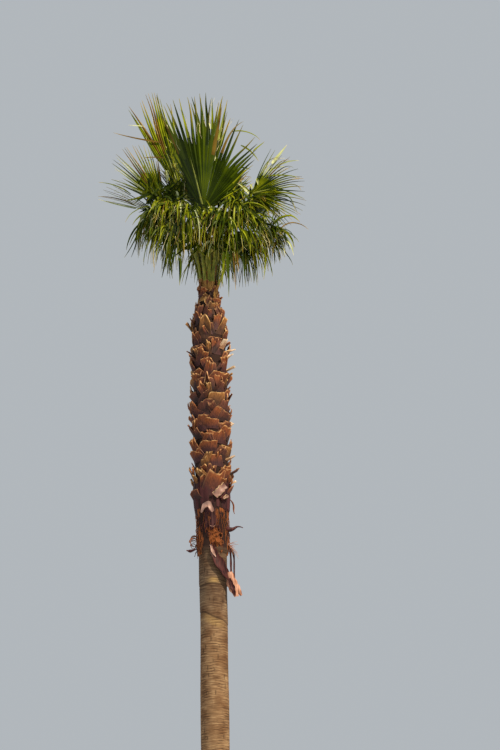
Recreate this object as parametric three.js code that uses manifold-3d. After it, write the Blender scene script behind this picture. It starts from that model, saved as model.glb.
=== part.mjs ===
// A tall fan palm: one slim leaning trunk with a swollen foot, a sleeve of old cut leaf bases,
// a torn dry leaf base hanging below them, and a loose crown of fan-shaped fronds.
// Millimetres, +Z up, the cut face of the foot on the ground at the origin.
import * as THREE from "three";
import Module from "manifold-3d";

const wasm = await Module();
wasm.setup();

// The trunk: its height, lean, foot and number of sides.
const TIP_HEIGHT = 10330;
const LEAN = 5.3;
const FOOT_RADIUS = 270;
const FLARE = 620;
const TRUNK_SIDES = 20;
// Radius of the trunk at heights above its flared foot: bark, fibre band, sheaths, leaf bases, neck.
const TRUNK_PROFILE = [
  [0, 156],
  [3000, 148],
  [5000, 143],
  [6500, 138],
  [7030, 138],
  [7060, 156],
  [7330, 150],
  [7420, 160],
  [7600, 182],
  [7700, 166],
  [9400, 166],
  [9600, 146],
  [9780, 112],
  [9950, 86],
  [10150, 56],
  [10290, 24],
];
const FOOT_STEPS = [0, 150, 330, 560, 850, 1300, 2000];

// The old cut leaf bases that wrap the upper trunk in a spiral.
const BASE_COUNT = 58;
const BASE_LOWEST = 7640;
const BASE_RISE = 35.5;
const GOLDEN_ANGLE = 137.508;
const BASE_WIDTH = 190;
const BASE_HEIGHT = 235;
const BASE_THICK = 20;
const BASE_FLARE = 48;

// The fronds: gaps to their neighbours, blade sections and stalk sizes.
const CLEAR = 0.3;
const CUT_ROOM = 0.4;
const SEGMENT_SPACING = 12.5;
const BLADE_THICK = 13;
const PLEAT_DEPTH = 9;
const FREE_ROWS = [0.3, 0.68];
const TIP_LENGTHS = [1, 0.85, 0.7, 0.5, 0.3, 0.15];
const ROOM = 1.5;
const STALK_WIDTH = 34;
const STALK_THICK = 22;
const RIB_STEPS = 12;
const GREEN = { color: "#46530f", roughness: 0.55, metalness: 0 };
const BARK = { color: "#8d6f4f", roughness: 0.95, metalness: 0 };
const DRY = { color: "#4a2a22", roughness: 0.8, metalness: 0 };

// Each frond: turn, lean, face and twist in degrees, the hub's reach from the trunk's axis and its
// height, the ring and turn its stalk starts from, and the blade's radius, spread, fold, droop,
// taper to its sides, the share of its radius that is joined and how crowded its segments are.
const FRONDS = [
  { name: "front", turn: -100, reach: 307, high: 10800, lean: 27, face: -121, twist: 0, inner: 1,
    from: -103, blade: 1260, spread: 150, fold: 44, droop: 0.15, taper: 0.58, split: 0.55, crowd: 1 },
  { name: "upper_left", turn: 163, reach: 310, high: 11130, lean: 18, face: 180, twist: 90, inner: 1,
    from: 155, blade: 1420, spread: 24, fold: 0, droop: 0.05, taper: 0.12, split: 0.48, crowd: 2.2 },
  { name: "top", turn: 80, reach: 70, high: 11330, lean: 5, face: 100, twist: 0, inner: 2,
    from: 80, blade: 1220, spread: 34, fold: 30, droop: 0.1, taper: 0.2, split: 0.5, crowd: 1 },
  { name: "left", turn: 185, reach: 510, high: 11000, lean: 34, face: 185, twist: 80, inner: 1,
    from: 190, blade: 820, spread: 60, fold: 0, droop: 0.1, taper: 0.3, split: 0.42, crowd: 1.25 },
  { name: "right", turn: -10, reach: 470, high: 11100, lean: 76, face: -5, twist: -80, inner: 1,
    from: -8, blade: 630, spread: 116, fold: 0, droop: 0.3, taper: 0.1, split: 0.4, crowd: 1 },
  { name: "upper_right", turn: 40, reach: 220, high: 11080, lean: 35, face: 20, twist: -60, inner: 1,
    from: 42, blade: 520, spread: 80, fold: 0, droop: 0.2, taper: 0.25, split: 0.5, crowd: 1 },
  { name: "right_low", turn: -12, reach: 600, high: 10560, lean: 82, face: -10, twist: -50, inner: 0,
    from: -26, blade: 360, spread: 200, fold: 10, droop: 1.3, taper: 0.2, split: 0.25, crowd: 1 },
  { name: "front_right_low", turn: -60, reach: 420, high: 10740, lean: 128, face: -64, twist: 0, inner: 0,
    from: -62, blade: 1040, spread: 170, fold: 15, droop: 3.6, taper: 0.25, split: 0.28, crowd: 1 },
  { name: "front_left_low", turn: 238, reach: 450, high: 10760, lean: 130, face: 236, twist: 0, inner: 0,
    from: 243, blade: 980, spread: 170, fold: 15, droop: 3.6, taper: 0.25, split: 0.28, crowd: 1 },
  { name: "front_right_mid", turn: -44, reach: 400, high: 10850, lean: 112, face: -42, twist: 0, inner: 1,
    from: -50, blade: 720, spread: 150, fold: 15, droop: 3.4, taper: 0.25, split: 0.3, crowd: 1 },
  { name: "front_left_mid", turn: 222, reach: 430, high: 10860, lean: 112, face: 220, twist: 0, inner: 1,
    from: 222, blade: 680, spread: 150, fold: 15, droop: 3.4, taper: 0.25, split: 0.3, crowd: 1 },
  { name: "front_low", turn: -88, reach: 370, high: 10730, lean: 118, face: -88, twist: 0, inner: 0,
    from: -85, blade: 560, spread: 170, fold: 15, droop: 3, taper: 0.25, split: 0.28, crowd: 1 },
  { name: "left_low", turn: 205, reach: 520, high: 10880, lean: 115, face: 203, twist: 0, inner: 0,
    from: 210, blade: 720, spread: 190, fold: 15, droop: 4.8, taper: 0.25, split: 0.3, crowd: 1 },
  { name: "left_mid", turn: 172, reach: 560, high: 10940, lean: 63, face: 180, twist: 90, inner: 0,
    from: 188, blade: 710, spread: 24, fold: 0, droop: 0.08, taper: 0.1, split: 0.2, crowd: 0.9 },
  { name: "back_left", turn: 148, reach: 380, high: 11000, lean: 36, face: 158, twist: 30, inner: 0,
    from: 162, blade: 620, spread: 150, fold: 20, droop: 0.8, taper: 0.25, split: 0.45, crowd: 1 },
  { name: "back_right", turn: 20, reach: 360, high: 10920, lean: 50, face: 26, twist: 0, inner: 0,
    from: 12, blade: 620, spread: 180, fold: 19, droop: 1.4, taper: 0.25, split: 0.45, crowd: 1 },
  { name: "back", turn: 101, reach: 380, high: 11080, lean: 38, face: 97, twist: 0, inner: 1,
    from: 108, blade: 850, spread: 170, fold: 40, droop: 0.6, taper: 0.5, split: 0.5, crowd: 1 },
  { name: "back_left_low", turn: 134, reach: 420, high: 10900, lean: 115, face: 136, twist: 0, inner: 0,
    from: 136, blade: 620, spread: 190, fold: 15, droop: 3.2, taper: 0.25, split: 0.36, crowd: 1 },
  { name: "back_right_low", turn: 52, reach: 440, high: 10800, lean: 115, face: 50, twist: 0, inner: 0,
    from: 48, blade: 660, spread: 190, fold: 15, droop: 3.2, taper: 0.25, split: 0.36, crowd: 1 },
  { name: "back_low", turn: 84, reach: 310, high: 10660, lean: 118, face: 86, twist: 0, inner: 0,
    from: 76, blade: 560, spread: 190, fold: 15, droop: 3.4, taper: 0.25, split: 0.36, crowd: 1 },
];

const radians = THREE.MathUtils.degToRad;
const vec = (x, y, z) => new THREE.Vector3(x, y, z);
const DOWN = vec(0, 0, -1);

// The trunk's centre line leans a little to one side, more with height.
function axisX(z) {
  return -LEAN * (Math.max(z, 0) / 1000) ** 1.5;
}

function around(turn, radius, z) {
  const a = radians(turn);
  return vec(axisX(z) + radius * Math.cos(a), radius * Math.sin(a), z);
}

function heading(turn, lean) {
  const t = radians(turn);
  const a = radians(lean);
  return vec(Math.sin(a) * Math.cos(t), Math.sin(a) * Math.sin(t), Math.cos(a));
}

function profileRadius(z) {
  let below = TRUNK_PROFILE[0];
  for (const above of TRUNK_PROFILE) {
    if (above[0] >= z) {
      const share = above[0] === below[0] ? 0 : (z - below[0]) / (above[0] - below[0]);
      return below[1] + share * (above[1] - below[1]);
    }
    below = above;
  }
  return 0;
}

function trunkRadius(z) {
  return profileRadius(z) + (FOOT_RADIUS - TRUNK_PROFILE[0][1]) * Math.exp(-z / FLARE);
}

// A closed body from a list of points and faces of point numbers.
function solid(points, faces) {
  const mesh = new wasm.Mesh({
    numProp: 3,
    vertProperties: new Float32Array(points.flatMap((p) => [p.x, p.y, p.z])),
    triVerts: new Uint32Array(faces.flat()),
  });
  const made = new wasm.Manifold(mesh);
  if (made.volume() > 0) return made;
  return solid(points, faces.map(([a, b, c]) => [a, c, b]));
}

// A closed skin over rings of equal length; a last ring of one point is an apex.
function skin(rings) {
  const points = rings.flat();
  const faces = [];
  const count = rings[0].length;
  for (let i = 1; i < count - 1; i++) faces.push([0, i + 1, i]);
  let start = 0;
  for (let r = 0; r + 1 < rings.length; r++) {
    const next = start + count;
    for (let i = 0; i < count; i++) {
      const j = (i + 1) % count;
      if (rings[r + 1].length === 1) {
        faces.push([start + i, start + j, next]);
      } else {
        faces.push([start + i, start + j, next + j], [start + i, next + j, next + i]);
      }
    }
    start = next;
  }
  if (rings.at(-1).length === count) {
    for (let i = 1; i < count - 1; i++) faces.push([start, start + i, start + i + 1]);
  }
  return solid(points, faces);
}

// A flattened five-sided bar along a path; across gives its sideways direction at a point,
// and width and thickness are functions of the share along it.
function bar(path, across, width, thick) {
  const rings = path.map((p, i) => {
    const share = i / (path.length - 1);
    const along = path[Math.min(i + 1, path.length - 1)].clone().sub(path[Math.max(i - 1, 0)]);
    const side = across(p).projectOnPlane(along.normalize()).normalize();
    const up = side.clone().cross(along).normalize();
    const w = width(share) / 2;
    const t = thick(share) / 2;
    return [[-1, 0.5], [0, 1], [1, 0.5], [0.6, -1], [-0.6, -1]].map(([u, v]) =>
      p.clone().addScaledVector(side, u * w).addScaledVector(up, v * t));
  });
  return skin(rings);
}

// The bare trunk as rings from the cut foot to its tip, grown outwards by a gap if asked.
function column(grow) {
  const heights = [...FOOT_STEPS, ...TRUNK_PROFILE.map((row) => row[0]).filter((z) => z > 2000)];
  const rings = heights.map((z) =>
    Array.from({ length: TRUNK_SIDES }, (_, i) => {
      const turn = (i * 360) / TRUNK_SIDES;
      const lobes = 1 + 0.05 * Math.exp(-z / FLARE) * Math.sin(radians(turn * 5 + 40));
      return around(turn, (trunkRadius(z) + grow) * lobes, z);
    }));
  rings.push([around(0, 0, TIP_HEIGHT + grow * 3)]);
  return skin(rings);
}

// One cut leaf base: a broad plate that starts inside the trunk, stands out at its top
// and ends in two ragged points.
function leafBase(i) {
  const share = i / (BASE_COUNT - 1);
  const small = 1 - 0.45 * share ** 3;
  const z0 = BASE_LOWEST + i * BASE_RISE;
  const turn = i * GOLDEN_ANGLE;
  const tilt = (i % 2 ? 1 : -1) * (26 - 16 * share);
  const width = BASE_WIDTH * small;
  const height = BASE_HEIGHT * (0.85 + 0.3 * ((i * 7) % 5) / 4);
  const across = [-1, 0, 1];
  const tops = [1, 0.84, 0.95];
  const skinAt = (depth) => [0, 1].map((up) =>
    across.map((side, k) => {
      const z = z0 + height * up * tops[(k + i) % 3];
      const half = (width / 2) * (1 - 0.34 * up);
      const sweep = side * half + height * up * Math.tan(radians(tilt));
      const stand = up ? BASE_FLARE * small : -12;
      const r = profileRadius(Math.min(z, 9780)) + stand + depth;
      return around(turn + THREE.MathUtils.radToDeg(sweep / r), r, z);
    }));
  return sheet(skinAt(BASE_THICK * small * 0.5), skinAt(-BASE_THICK * small));
}

// A closed plate between two grids of points of the same size.
function sheet(outer, inner) {
  const rows = outer.length;
  const columns = outer[0].length;
  const points = [...outer.flat(), ...inner.flat()];
  const back = rows * columns;
  const at = (r, c) => r * columns + c;
  const faces = [];
  const wall = (a, b) => faces.push([a, b, b + back], [a, b + back, a + back]);
  for (let r = 0; r + 1 < rows; r++) {
    for (let c = 0; c + 1 < columns; c++) {
      const [p, q, s, t] = [at(r, c), at(r, c + 1), at(r + 1, c + 1), at(r + 1, c)];
      faces.push([p, s, q], [p, t, s], [p + back, q + back, s + back], [p + back, s + back, t + back]);
    }
    wall(at(r + 1, 0), at(r, 0));
    wall(at(r, columns - 1), at(r + 1, columns - 1));
  }
  for (let c = 0; c + 1 < columns; c++) {
    wall(at(0, c), at(0, c + 1));
    wall(at(rows - 1, c + 1), at(rows - 1, c));
  }
  return solid(points, faces);
}

// A dry torn strip or stub: a flattened bar through points of turn, radius and height.
function scrap(stations, widths, thick, across = (p) => vec(-p.y, p.x - axisX(p.z), 0)) {
  const path = new THREE.CatmullRomCurve3(stations.map((s) => around(...s))).getPoints(6);
  const width = (share) => {
    const s = Math.min(share * (widths.length - 1), widths.length - 1.001);
    const i = Math.floor(s);
    return widths[i] + (widths[i + 1] - widths[i]) * (s - i);
  };
  return bar(path, across, width, (share) => thick * (1 - 0.3 * share));
}

// The torn leaf base hangs upside down by its two legs, its cut stalk end at the bottom.
function tornLeafBase() {
  const flat = () => vec(1, 0, 0);
  const left = scrap([[-95, 148, 7100], [-82, 160, 6990], [-56, 172, 6860], [-28, 198, 6740]],
    [40, 78, 88, 70], 11);
  const right = scrap([[-6, 138, 7140], [-6, 178, 7060], [-12, 186, 6900], [-24, 198, 6740]],
    [46, 34, 34, 60], 11, flat);
  const flap = scrap([[-31, 192, 6810], [-26, 214, 6690], [-18, 246, 6580]], [60, 108, 18], 12, flat);
  const point = scrap([[-24, 202, 6740], [-14, 250, 6660], [-8, 284, 6600]], [50, 56, 12], 11, flat);
  return left.add(right).add(flap).add(point);
}

function dryStub() {
  return scrap([[-22, 110, 7280], [-14, 185, 7292], [-6, 245, 7330], [0, 312, 7322]],
    [50, 62, 22, 10], 34);
}

function sheathScrap() {
  return scrap([[-150, 115, 7080], [-160, 180, 7078], [-168, 232, 7068], [-172, 272, 7076]],
    [34, 20, 34, 10], 9);
}

function trunk() {
  let body = column(0);
  for (let i = 0; i < BASE_COUNT; i++) body = body.add(leafBase(i));
  return largest(body);
}

// The path of a frond's stalk, from inside the trunk's tip to the hub of the blade.
function stalkPath(f, steps) {
  const low = 9800 + 170 * f.inner;
  const start = around(f.from, f.inner === 2 ? 6 : 58 - 20 * f.inner, low);
  const hub = around(f.turn, f.reach, f.high);
  hub.x += axisX(10000) - axisX(f.high);
  const far = hub.distanceTo(start);
  const rise = start.clone().addScaledVector(heading(f.from, 8), 0.45 * far);
  const arrive = hub.clone().addScaledVector(heading(f.turn, Math.min(f.lean, 80) - 5), -0.3 * far);
  return new THREE.CubicBezierCurve3(start, rise, arrive, hub).getPoints(steps);
}

function bladeFrame(f) {
  const centre = heading(f.face, f.lean);
  const normal = heading(f.face, f.lean - 90);
  const side = centre.clone().cross(normal);
  normal.applyAxisAngle(centre, radians(f.twist));
  side.applyAxisAngle(centre, radians(f.twist));
  return { centre, normal, side };
}

// One rib of the fan, at runs from -1 to 1 across it; it bends down more towards its tip.
function ribPath(f, frame, hub, at) {
  const angle = (radians(f.spread) / 2) * at;
  const fold = radians(f.fold) * Math.min(1, Math.abs(angle) / 0.45);
  const direction = frame.centre.clone().multiplyScalar(Math.cos(angle));
  direction.addScaledVector(frame.side, Math.sin(angle) * Math.cos(fold));
  direction.addScaledVector(frame.normal, Math.abs(Math.sin(angle)) * Math.sin(fold));
  direction.normalize();
  const length = f.blade * (1 - f.taper * at * at);
  const points = [hub.clone()];
  for (let i = 0; i < RIB_STEPS; i++) {
    points.push(points[i].clone().addScaledVector(direction, length / RIB_STEPS));
    const pull = (f.droop * (0.3 + (1.4 * (i + 0.5)) / RIB_STEPS)) / RIB_STEPS;
    direction.addScaledVector(DOWN, pull).normalize();
  }
  return (share) => {
    const s = Math.min(share * RIB_STEPS, RIB_STEPS - 1e-6);
    const i = Math.floor(s);
    return points[i].clone().lerp(points[i + 1], s - i);
  };
}

function shapeOf(f) {
  const frame = bladeFrame(f);
  const hub = stalkPath(f, 8).at(-1);
  const ribAt = (at) => ribPath(f, frame, hub, at);
  const overAt = (at, share) => ribAt(at + 0.02)(share).sub(ribAt(at - 0.02)(share)).normalize();
  const normalAt = (at, share) => {
    const along = ribAt(at)(share + 0.01).sub(ribAt(at)(share - 0.01));
    return overAt(at, share).cross(along).normalize();
  };
  const count = 2 * Math.round((f.spread * f.crowd) / SEGMENT_SPACING / 2);
  return { frame, hub, ribAt, overAt, normalAt, count };
}

// The free tip of segment k: three-sided rings and a point, cut to a share of its full length.
function fingerRings(f, shape, k, length, rows = FREE_ROWS, room = 0) {
  const at = -1 + (2 * k + 1) / shape.count;
  const edge = (side) => shape.ribAt(at + side / shape.count)(f.split);
  const width = edge(1).distanceTo(edge(-1));
  const rings = rows.map((row) => {
    const left = 1 - row;
    const share = f.split + (1 - f.split) * row * length;
    const rib = shape.ribAt(at)(share);
    const normal = shape.normalAt(at, share);
    const over = shape.overAt(at, share);
    const half = (width / 2) * left * 0.82 + room;
    const top = rib.clone().addScaledVector(normal, BLADE_THICK * 0.4 + room);
    const low = -BLADE_THICK / 2 - PLEAT_DEPTH * left - room;
    return [
      top.clone().addScaledVector(over, -half),
      top.clone().addScaledVector(over, half),
      rib.addScaledVector(normal, low),
    ];
  });
  return [...rings, [shape.ribAt(at)(f.split + (1 - f.split) * length)]];
}

// A net of points and of faces by point number, to be closed into a body.
function emptyNet() {
  const points = [];
  const faces = [];
  return {
    faces,
    put: (p) => points.push(p) - 1,
    quad: (a, b, c, d) => faces.push([a, b, c], [a, c, d]),
    close: () => solid(points, faces),
  };
}

// One row across a blade: an upper and a lower point on each pleat's edge, one on each rib.
function bladeRow(net, shape, share) {
  const half = BLADE_THICK / 2;
  const edges = [];
  const ribs = [];
  for (let k = 0; k <= shape.count; k++) {
    const at = -1 + (2 * k) / shape.count;
    const p = shape.ribAt(at)(share);
    const n = shape.normalAt(at, share);
    edges.push([half, -half].map((out) => net.put(p.clone().addScaledVector(n, out))));
    if (k === shape.count) break;
    const low = shape.normalAt(at + 1 / shape.count, share).multiplyScalar(-half - PLEAT_DEPTH);
    ribs.push(net.put(shape.ribAt(at + 1 / shape.count)(share).add(low)));
  }
  return { edges, ribs };
}

const segment = (row, k) => [row.edges[k], row.edges[k + 1], row.ribs[k]];

// The joined heart of a blade, from its hub to the row where its segments part.
function heart(net, shape, split) {
  const { hub, frame, count } = shape;
  const half = BLADE_THICK / 2;
  const top = net.put(hub.clone().addScaledVector(frame.normal, half));
  const low = net.put(hub.clone().addScaledVector(frame.normal, -half - PLEAT_DEPTH));
  const rim = (a, b) => net.quad(a[0], b[0], b[1], a[1]);
  const first = bladeRow(net, shape, split / 2);
  for (let k = 0; k < count; k++) {
    const [l, r, m] = segment(first, k);
    net.faces.push([top, l[0], r[0]], [low, m, l[1]], [low, r[1], m]);
  }
  rim(first.edges[0], [top, low]);
  rim([top, low], first.edges[count]);
  const last = bladeRow(net, shape, split);
  for (let k = 0; k < count; k++) {
    const [l, r, m] = segment(first, k);
    const [L, R, M] = segment(last, k);
    net.quad(l[0], L[0], R[0], r[0]);
    net.quad(m, M, L[1], l[1]);
    net.quad(r[1], R[1], M, m);
  }
  rim(last.edges[0], first.edges[0]);
  rim(first.edges[count], last.edges[count]);
  return last;
}

// The tapering free tip of one segment.
function freeTip(net, [l, r, m], rings) {
  const [first, ...rest] = rings.map((ring) => ring.map(net.put));
  net.faces.push([l[0], l[1], first[0]], [r[1], r[0], first[1]]);
  net.quad(l[0], first[0], first[1], r[0]);
  net.quad(m, first[2], first[0], l[1]);
  net.quad(r[1], first[1], first[2], m);
  let old = first;
  for (const now of rest.slice(0, -1)) {
    net.quad(old[0], now[0], now[1], old[1]);
    net.quad(old[2], now[2], now[0], old[0]);
    net.quad(old[1], now[1], now[2], old[2]);
    old = now;
  }
  const [tip] = rest.at(-1);
  net.faces.push([old[0], tip, old[1]], [old[2], tip, old[0]], [old[1], tip, old[2]]);
}

// The blade with a tip to each segment, or cut off where the segments part if no lengths are given.
function blade(f, lengths) {
  const shape = shapeOf(f);
  const net = emptyNet();
  const last = heart(net, shape, f.split);
  for (let k = 0; k < shape.count; k++) {
    const [l, r, m] = segment(last, k);
    if (lengths) {
      freeTip(net, [l, r, m], fingerRings(f, shape, k, lengths[k]));
    } else {
      net.quad(l[0], l[1], m, r[0]);
      net.faces.push([r[0], m, r[1]]);
    }
  }
  return net.close();
}

// The longest share of each tip that stays clear of everything built before it.
function freeLengths(f, others) {
  const shape = shapeOf(f);
  return Array.from({ length: shape.count }, (_, k) =>
    TIP_LENGTHS.find((length) => {
      const finger = skin(fingerRings(f, shape, k, length, [0, ...FREE_ROWS], ROOM));
      return others.every((other) => finger.intersect(other).isEmpty());
    }) ?? TIP_LENGTHS.at(-1));
}

function stalk(f) {
  const path = stalkPath(f, 8);
  const { centre, side } = bladeFrame(f);
  path.push(path.at(-1).clone().addScaledVector(centre, 60));
  const across = vec(-Math.sin(radians(f.turn)), Math.cos(radians(f.turn)), 0);
  if (across.dot(side) < 0) across.negate();
  const size = (whole) => (share) => whole * (1 - 0.35 * share);
  return bar(path, () => across.clone(), size(STALK_WIDTH), size(STALK_THICK));
}

function largest(body) {
  return body.decompose().sort((a, b) => b.volume() - a.volume())[0];
}

function boxAround({ min, max }, room) {
  const ring = (z) => [[0, 0], [1, 0], [1, 1], [0, 1]].map(([i, j]) =>
    vec(i ? max[0] + room : min[0] - room, j ? max[1] + room : min[1] - room, z));
  return skin([ring(min[2] - room), ring(max[2] + room)]);
}

// What is left of a body once its overlap with another is cut away with a little room:
// near each overlap the other body is moved to the eight corners of a small cube.
function keepClear(body, other) {
  return body.intersect(other).decompose().reduce((left, piece) => {
    const near = other.intersect(boxAround(piece.boundingBox(), 2 * CUT_ROOM));
    let cut = near;
    for (const x of [-CUT_ROOM, CUT_ROOM]) {
      for (const y of [-CUT_ROOM, CUT_ROOM]) {
        for (const z of [-CUT_ROOM, CUT_ROOM]) cut = cut.add(near.translate([x, y, z]));
      }
    }
    return left.subtract(cut);
  }, body);
}

// Each frond keeps to its own space: stalks go first, then the joined blades, then their tips.
function fronds(wood) {
  const core = column(CLEAR);
  const stems = [];
  for (const f of FRONDS) stems.push(stems.reduce(keepClear, stalk(f).subtract(core)));
  const fans = FRONDS.map((f) => blade(f));
  const made = [];
  FRONDS.forEach((f, i) => {
    const stands = [wood, ...stems.filter((_, j) => j !== i), ...fans.slice(i + 1), ...made];
    const body = blade(f, freeLengths(f, stands)).subtract(core);
    made.push(largest(stands.filter((s) => !fans.includes(s)).reduce(keepClear, body).add(stems[i])));
  });
  return made;
}

// One named mesh of the assembly.
function mesh(name, body, look) {
  const made = body.getMesh();
  const geometry = new THREE.BufferGeometry();
  const position = new Float32Array(made.numVert * 3);
  for (let i = 0; i < made.numVert; i++) {
    for (let k = 0; k < 3; k++) position[3 * i + k] = made.vertProperties[i * made.numProp + k];
  }
  geometry.setAttribute("position", new THREE.BufferAttribute(position, 3));
  geometry.setIndex(new THREE.BufferAttribute(new Uint32Array(made.triVerts), 1));
  geometry.computeVertexNormals();
  const out = new THREE.Mesh(geometry, new THREE.MeshStandardMaterial({ ...look, flatShading: true }));
  out.name = name;
  return out;
}

const group = new THREE.Group();
group.name = "fan_palm";
const wood = trunk();
const bark = column(CLEAR);
group.add(mesh("trunk", wood, BARK));
group.add(mesh("torn_leaf_base", largest(tornLeafBase().subtract(bark)), DRY));
group.add(mesh("dry_stub", largest(dryStub().subtract(bark)), DRY));
group.add(mesh("sheath_scrap", largest(sheathScrap().subtract(bark)), DRY));
fronds(wood).forEach((body, i) => group.add(mesh("frond_" + FRONDS[i].name, body, GREEN)));

export default group;
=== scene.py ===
"""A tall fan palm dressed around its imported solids: ringed bark, a torn hanging leaf base, fibre and
old sheaths, a sleeve of cut leaf bases, and a loose crown of fans. Metres, +Z up, the cut foot at
the origin."""
import math

import bpy
import numpy as np
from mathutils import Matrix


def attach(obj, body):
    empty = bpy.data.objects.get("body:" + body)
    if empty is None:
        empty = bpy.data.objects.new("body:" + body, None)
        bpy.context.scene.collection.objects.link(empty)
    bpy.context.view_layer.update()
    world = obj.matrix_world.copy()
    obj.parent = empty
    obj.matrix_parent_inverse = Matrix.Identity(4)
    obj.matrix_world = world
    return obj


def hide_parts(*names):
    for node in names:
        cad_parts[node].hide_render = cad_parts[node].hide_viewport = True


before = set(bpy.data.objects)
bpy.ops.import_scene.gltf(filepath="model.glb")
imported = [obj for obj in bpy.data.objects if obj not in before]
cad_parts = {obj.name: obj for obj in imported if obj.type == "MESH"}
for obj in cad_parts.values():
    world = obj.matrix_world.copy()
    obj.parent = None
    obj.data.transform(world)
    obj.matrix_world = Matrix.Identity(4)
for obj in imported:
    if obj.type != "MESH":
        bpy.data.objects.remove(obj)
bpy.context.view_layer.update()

# The trunk, as in the part's source.
TIP_HEIGHT = 10.33
LEAN = 0.0053
FOOT_RADIUS = 0.27
FLARE = 0.62
TRUNK_HEIGHTS = [0, 3, 5, 6.5, 7.03, 7.06, 7.33, 7.42, 7.6, 7.7, 9.4, 9.6, 9.78, 9.95, 10.15, 10.29]
TRUNK_RADII = [0.156, 0.148, 0.143, 0.138, 0.138, 0.156, 0.150, 0.160, 0.182, 0.166, 0.166, 0.146,
               0.112, 0.086, 0.056, 0.024]

# What the scene adds to it: rings of scars, two lines where older bark ends, and the fibre band.
TRUNK_COLUMNS = 88
ROW_HEIGHT = 0.0068
RING_SPACING = 0.027
OLD_BARK_HIGH = 6.69
OLD_BARK_LOW = 6.37
FIBRE_LOW = 7.06
FIBRE_HIGH = 7.52
LOOSE_FIBRES = 260

# Heights of the trunk's rows of points: close where its bark shows, wide apart under the leaf bases.
BARK_ROWS = np.concatenate([np.arange(0, FIBRE_LOW + 0.03, ROW_HEIGHT),
                            np.linspace(FIBRE_LOW + 0.06, TIP_HEIGHT, 40)])

# The sleeve of old cut leaf bases, as in the part's source.
BASE_COUNT = 58
BASE_LOWEST = 7.64
BASE_RISE = 0.0355
GOLDEN_ANGLE = 137.508
BASE_WIDTH = 0.19
BASE_HEIGHT = 0.235
BASE_FLARE = 0.048

# What the scene adds to the sleeve and to the neck above it, and the room that leaflets keep there.
PLATE_THICK = 0.009
WORN_BASES = 74
WORN_LOWEST = 7.56
WORN_RISE = 0.0315
SPLINTERS = 96
LOW_SPLINTERS = 52
NECK_TOP = 10.1
NECK_SHEATHS = 9
NECK_LOWEST = 9.64
NECK_RISE = 0.045
SLEEVE_TOP = 9.75
SLEEVE_ROOM = 0.05
NECK_ROOM = 0.012

# The fans: leaflets are folded strips some degrees apart, joined out to the split and free beyond.
LEAFLET_SPACING = 3.8
RIB_STEPS = 24
HEART_ROWS = 8
TIP_ROWS = 15
LEAF_THICK = 0.003
CURLED_LEAFLETS = 560

# The stalks start in rings inside the trunk's tip, each ring higher than the one around it.
STALK_STEPS = 26
STALK_FOOT = 9.8
INNER_RISE = 0.17
TOOTH_SPACING = 0.026

# The camera stands at eye height, 19 m away, and looks up.
EYE = (0.279, -19.0, 1.6)
LOOK_UP = 21.3
FIELD_OF_VIEW = 22

DOWN = np.array([0.0, 0.0, -1.0])
UPRIGHT = -DOWN

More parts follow.
